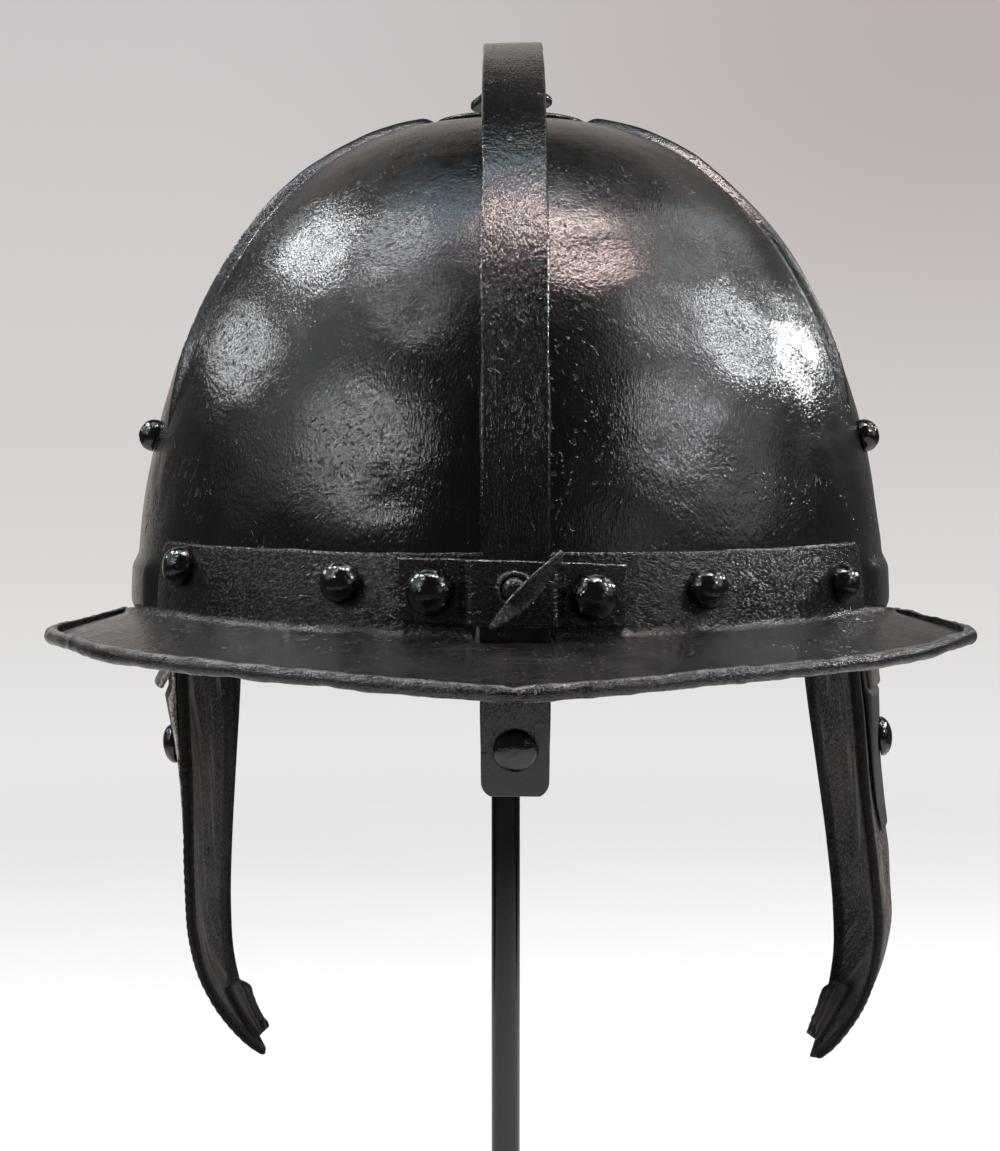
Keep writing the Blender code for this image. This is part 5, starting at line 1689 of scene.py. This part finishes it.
@dataclass(frozen=True)
class Lamp:
    """A soft box that looks at the helmet, or lies flat overhead where it has a turn."""

    name: str
    azimuth: float
    elevation: float
    width: float
    height: float
    radiance: float
    colour: tuple[float, float, float]
    roll: float = 0.0
    distance: float = 1.5
    flat_turn: float | None = None

    def build(self, target: Vector) -> None:
        """Place the light.

        Args:
            target: the point that it faces. Its power is pi times radiance times area.
        """
        data = bpy.data.lights.new(self.name, "AREA")
        data.shape = "RECTANGLE"
        data.size = self.width
        data.size_y = self.height
        data.color = self.colour
        data.energy = math.pi * self.radiance * self.width * self.height
        turn = math.radians(self.azimuth)
        lift = math.radians(self.elevation)
        away = Vector((math.sin(turn) * math.cos(lift), -math.cos(turn) * math.cos(lift), math.sin(lift)))
        obj = bpy.data.objects.new(self.name, data)
        obj.location = target + away * self.distance
        if self.flat_turn is None:
            facing = (-away).to_track_quat("-Z", "Y") @ Quaternion((0.0, 0.0, 1.0), math.radians(self.roll))
            obj.rotation_euler = facing.to_euler()
        else:
            obj.rotation_euler = (0.0, 0.0, math.radians(self.flat_turn))
        obj.visible_camera = False
        bpy.context.scene.collection.objects.link(obj)


class Studio:
    """Pale floor, soft light and camera."""

    # the camera's X, Y and rise, and the degrees that it is tipped down
    EYE = (-0.0028, -0.650, 0.0392)
    TIP = 2.71
    COOL = (0.93, 0.965, 1.0)
    PINK = (1.0, 0.80, 0.75)
    SKY = (0.66, 0.86, 1.0)
    DEEP = (0.52, 0.79, 1.0)
    LAMPS = (
        Lamp("left_window", -114.0, 43.0, 0.20, 0.11, 76.0, COOL),
        Lamp("left_pane", -116.0, 24.0, 0.38, 0.05, 26.0, COOL, roll=12.0),
        Lamp("left_high", -85.0, 60.5, 0.22, 0.05, 92.0, COOL, roll=-14.0),
        Lamp("left_sky", -82.0, 72.0, 0.62, 0.22, 2.9, DEEP),
        Lamp("left_box", -49.0, 22.5, 0.11, 0.07, 84.0, COOL),
        Lamp("left_veil", -57.0, 27.0, 0.46, 0.26, 2.4, COOL),
        Lamp("left_glow", -53.0, 51.0, 0.10, 0.07, 68.0, COOL),
        Lamp("right_window", 97.0, 33.5, 0.33, 0.07, 60.0, COOL, roll=-16.0),
        Lamp("right_pane", 121.0, 20.5, 0.20, 0.08, 100.0, COOL, roll=-22.0),
        Lamp("right_box", 62.0, 25.0, 0.12, 0.08, 72.0, COOL),
        Lamp("right_veil", 64.0, 28.0, 0.50, 0.34, 1.15, COOL),
        Lamp("right_low", 77.0, 13.0, 0.31, 0.22, 1.4, COOL),
        Lamp("right_slit", 75.0, 44.5, 0.18, 0.05, 58.0, COOL),
        Lamp("right_dim", 40.0, 8.0, 0.46, 0.34, 0.80, COOL),
        Lamp("right_spot", 119.0, 48.0, 0.17, 0.14, 6.0, COOL),
        Lamp("right_beam", 119.0, 42.0, 0.78, 0.11, 3.3, COOL, roll=-35.0),
        Lamp("warm_strip", 57.0, 68.5, 0.54, 0.060, 98.0, PINK, distance=1.34, flat_turn=14.0),
        Lamp("warm_middle", 6.0, 75.8, 0.34, 0.07, 54.0, PINK, distance=1.30, flat_turn=12.0),
        Lamp("warm_end", -33.7, 69.4, 0.26, 0.09, 5.5, PINK, distance=1.34, flat_turn=12.0),
        Lamp("cool_strip", 90.0, 88.0, 1.00, 0.17, 4.8, SKY, flat_turn=3.0),
    )

    def build(self) -> None:
        """Set everything up."""
        self._world()
        self._floor()
        for lamp in self.LAMPS:
            lamp.build(Vector((0.0, 0.0, BOWL.rim + 0.06)))
        self._camera()
        bpy.context.scene.view_settings.view_transform = "Standard"

    @staticmethod
    def _world() -> None:
        """Surroundings: a pale sweep for the eye, and for the iron a dim room with two wide soft fills."""
        world = bpy.data.worlds.new("studio")
        bpy.context.scene.world = world
        g = Graph.fresh(world)
        direction = g.add("ShaderNodeTexCoord").outputs["Generated"]
        parts = g.add("ShaderNodeSeparateXYZ", {0: direction})
        height = parts.outputs[2]
        low = g.blend(g.span(height, -0.22, 0.03), tint(0.90, 0.895, 0.887), tint(0.665, 0.634, 0.615))
        sweep = g.blend(g.span(height, 0.02, 0.20), low, tint(0.598, 0.570, 0.562))
        shade = g.times(g.span(parts.outputs[0], -0.14, 0.20), g.span(height, -0.04, 0.18))
        sweep = g.blend(shade, sweep, tint(0.495, 0.436, 0.426))
        aside = g.math("ABSOLUTE", parts.outputs[0])
        ahead = g.times(parts.outputs[1], -0.11)
        toward = g.math("MULTIPLY_ADD", aside, 0.78, g.math("MULTIPLY_ADD", height, 0.616, ahead))
        cloth = g.span(g.noise(direction, 5.0, 3.0, 0.6), 0.35, 0.62, 0.45, 1.1)
        fill = g.times(g.span(toward, 0.84, 0.975), cloth)
        arch = g.times(g.span(height, 0.49, 0.55), g.span(height, 0.68, 0.63))
        arch = g.times(arch, g.span(parts.outputs[1], 0.50, 0.68))
        room = g.blend(g.span(height, 0.05, 0.60), tint(0.075, 0.072, 0.070), tint(0.050, 0.048, 0.047))
        room = g.blend(arch, room, tint(0.66, 0.575, 0.50))
        leftward = g.span(parts.outputs[0], 0.05, 0.30, 1.0, 0.15)
        behind = g.times(g.span(parts.outputs[1], 0.80, 0.93), leftward)
        room = g.blend(behind, room, tint(0.60, 0.545, 0.505))
        room = g.blend(fill, room, tint(0.98, 1.06, 1.11))
        seen = g.add("ShaderNodeLightPath").outputs["Is Camera Ray"]
        back = g.add("ShaderNodeBackground", {"Color": g.blend(seen, room, sweep), "Strength": 1.0})
        out = g.add("ShaderNodeOutputWorld")
        g.link(back.outputs[0], out.inputs["Surface"])

    @staticmethod
    def _floor() -> None:
        """Round floor that melts into the surroundings at its rim."""
        around = 96
        angle = np.linspace(0.0, 2.0 * math.pi, around, endpoint=False)
        radius = np.array([0.05, 0.3, 0.7, 1.2, 1.9, 2.6])[:, None]
        rings = xyz(radius * np.cos(angle), radius * np.sin(angle), 0.0)
        ids = np.arange(rings.shape[0] * around).reshape(-1, around)
        mesh = Surface(rings.reshape(-1, 3), [quads(ids, wrap=True), ids[0][None, ::-1]],
                       np.zeros(ids.size), rings.reshape(-1, 3)).build("floor")
        mesh.location.z = -0.0002
        mat = bpy.data.materials.new("floor")
        g = Graph.fresh(mat)
        place = g.add("ShaderNodeTexCoord").outputs["Object"]
        away = g.add("ShaderNodeVectorMath", {0: place}, operation="LENGTH").outputs["Value"]
        seen = g.add("ShaderNodeLightPath").outputs["Is Camera Ray"]
        shrink = g.math("MULTIPLY_ADD", seen, -0.6, 1.6)
        away = g.times(away, shrink)
        soft = g.noise(place, 3.0, 2.0)
        dim = g.blend(g.span(soft, 0.3, 0.7), tint(0.64, 0.635, 0.62), tint(0.67, 0.665, 0.65))
        bright = g.blend(g.span(soft, 0.3, 0.7), tint(0.91, 0.90, 0.865), tint(0.94, 0.93, 0.895))
        colour = g.blend(seen, dim, bright)
        solid = g.add("ShaderNodeBsdfPrincipled", {"Base Color": colour, "Roughness": 0.6})
        clear = g.add("ShaderNodeBsdfTransparent")
        fade = g.span(away, 0.45, 1.7)
        mix = g.add("ShaderNodeMixShader", {0: fade, 1: solid.outputs[0], 2: clear.outputs[0]})
        out = g.add("ShaderNodeOutputMaterial")
        g.link(mix.outputs[0], out.inputs["Surface"])
        mesh.data.materials.append(mat)

    @staticmethod
    def _camera() -> None:
        """Camera straight ahead of the helmet, a little above its rim and tipped down slightly."""
        data = bpy.data.cameras.new("camera")
        data.sensor_width = 36.0
        data.lens = 73.0
        data.clip_start = 0.02
        data.clip_end = 50.0
        cam = bpy.data.objects.new("camera", data)
        x, y, rise = Studio.EYE
        cam.location = (x, y, BOWL.rim + rise)
        cam.rotation_euler = (math.radians(90.0 - Studio.TIP), 0.0, 0.0)
        bpy.context.scene.collection.objects.link(cam)
        bpy.context.scene.camera = cam


def main() -> None:
    """Build the helmet, its stand and the studio."""
    logging.basicConfig(level=logging.INFO, format="%(name)s: %(message)s")
    shop = Workshop(Effects())
    shop.finish_all()
    parts = [SkullPiece(shop), PeakPiece(shop), BarPiece(shop), StaplePiece(shop), RivetSet(shop),
             CheekPiece(shop, Side.LEFT), CheekPiece(shop, Side.RIGHT), TailPiece(shop), StandPiece(shop)]
    for part in parts:
        part.build()
        LOG.info("built %s", type(part).__name__)
    Studio().build()
    total = sum(len(obj.data.polygons) for obj in shop.pieces)
    LOG.info("%d pieces, %d faces", len(shop.pieces), total)
    bpy.context.view_layer.update()


if __name__ == "__main__":
    main()
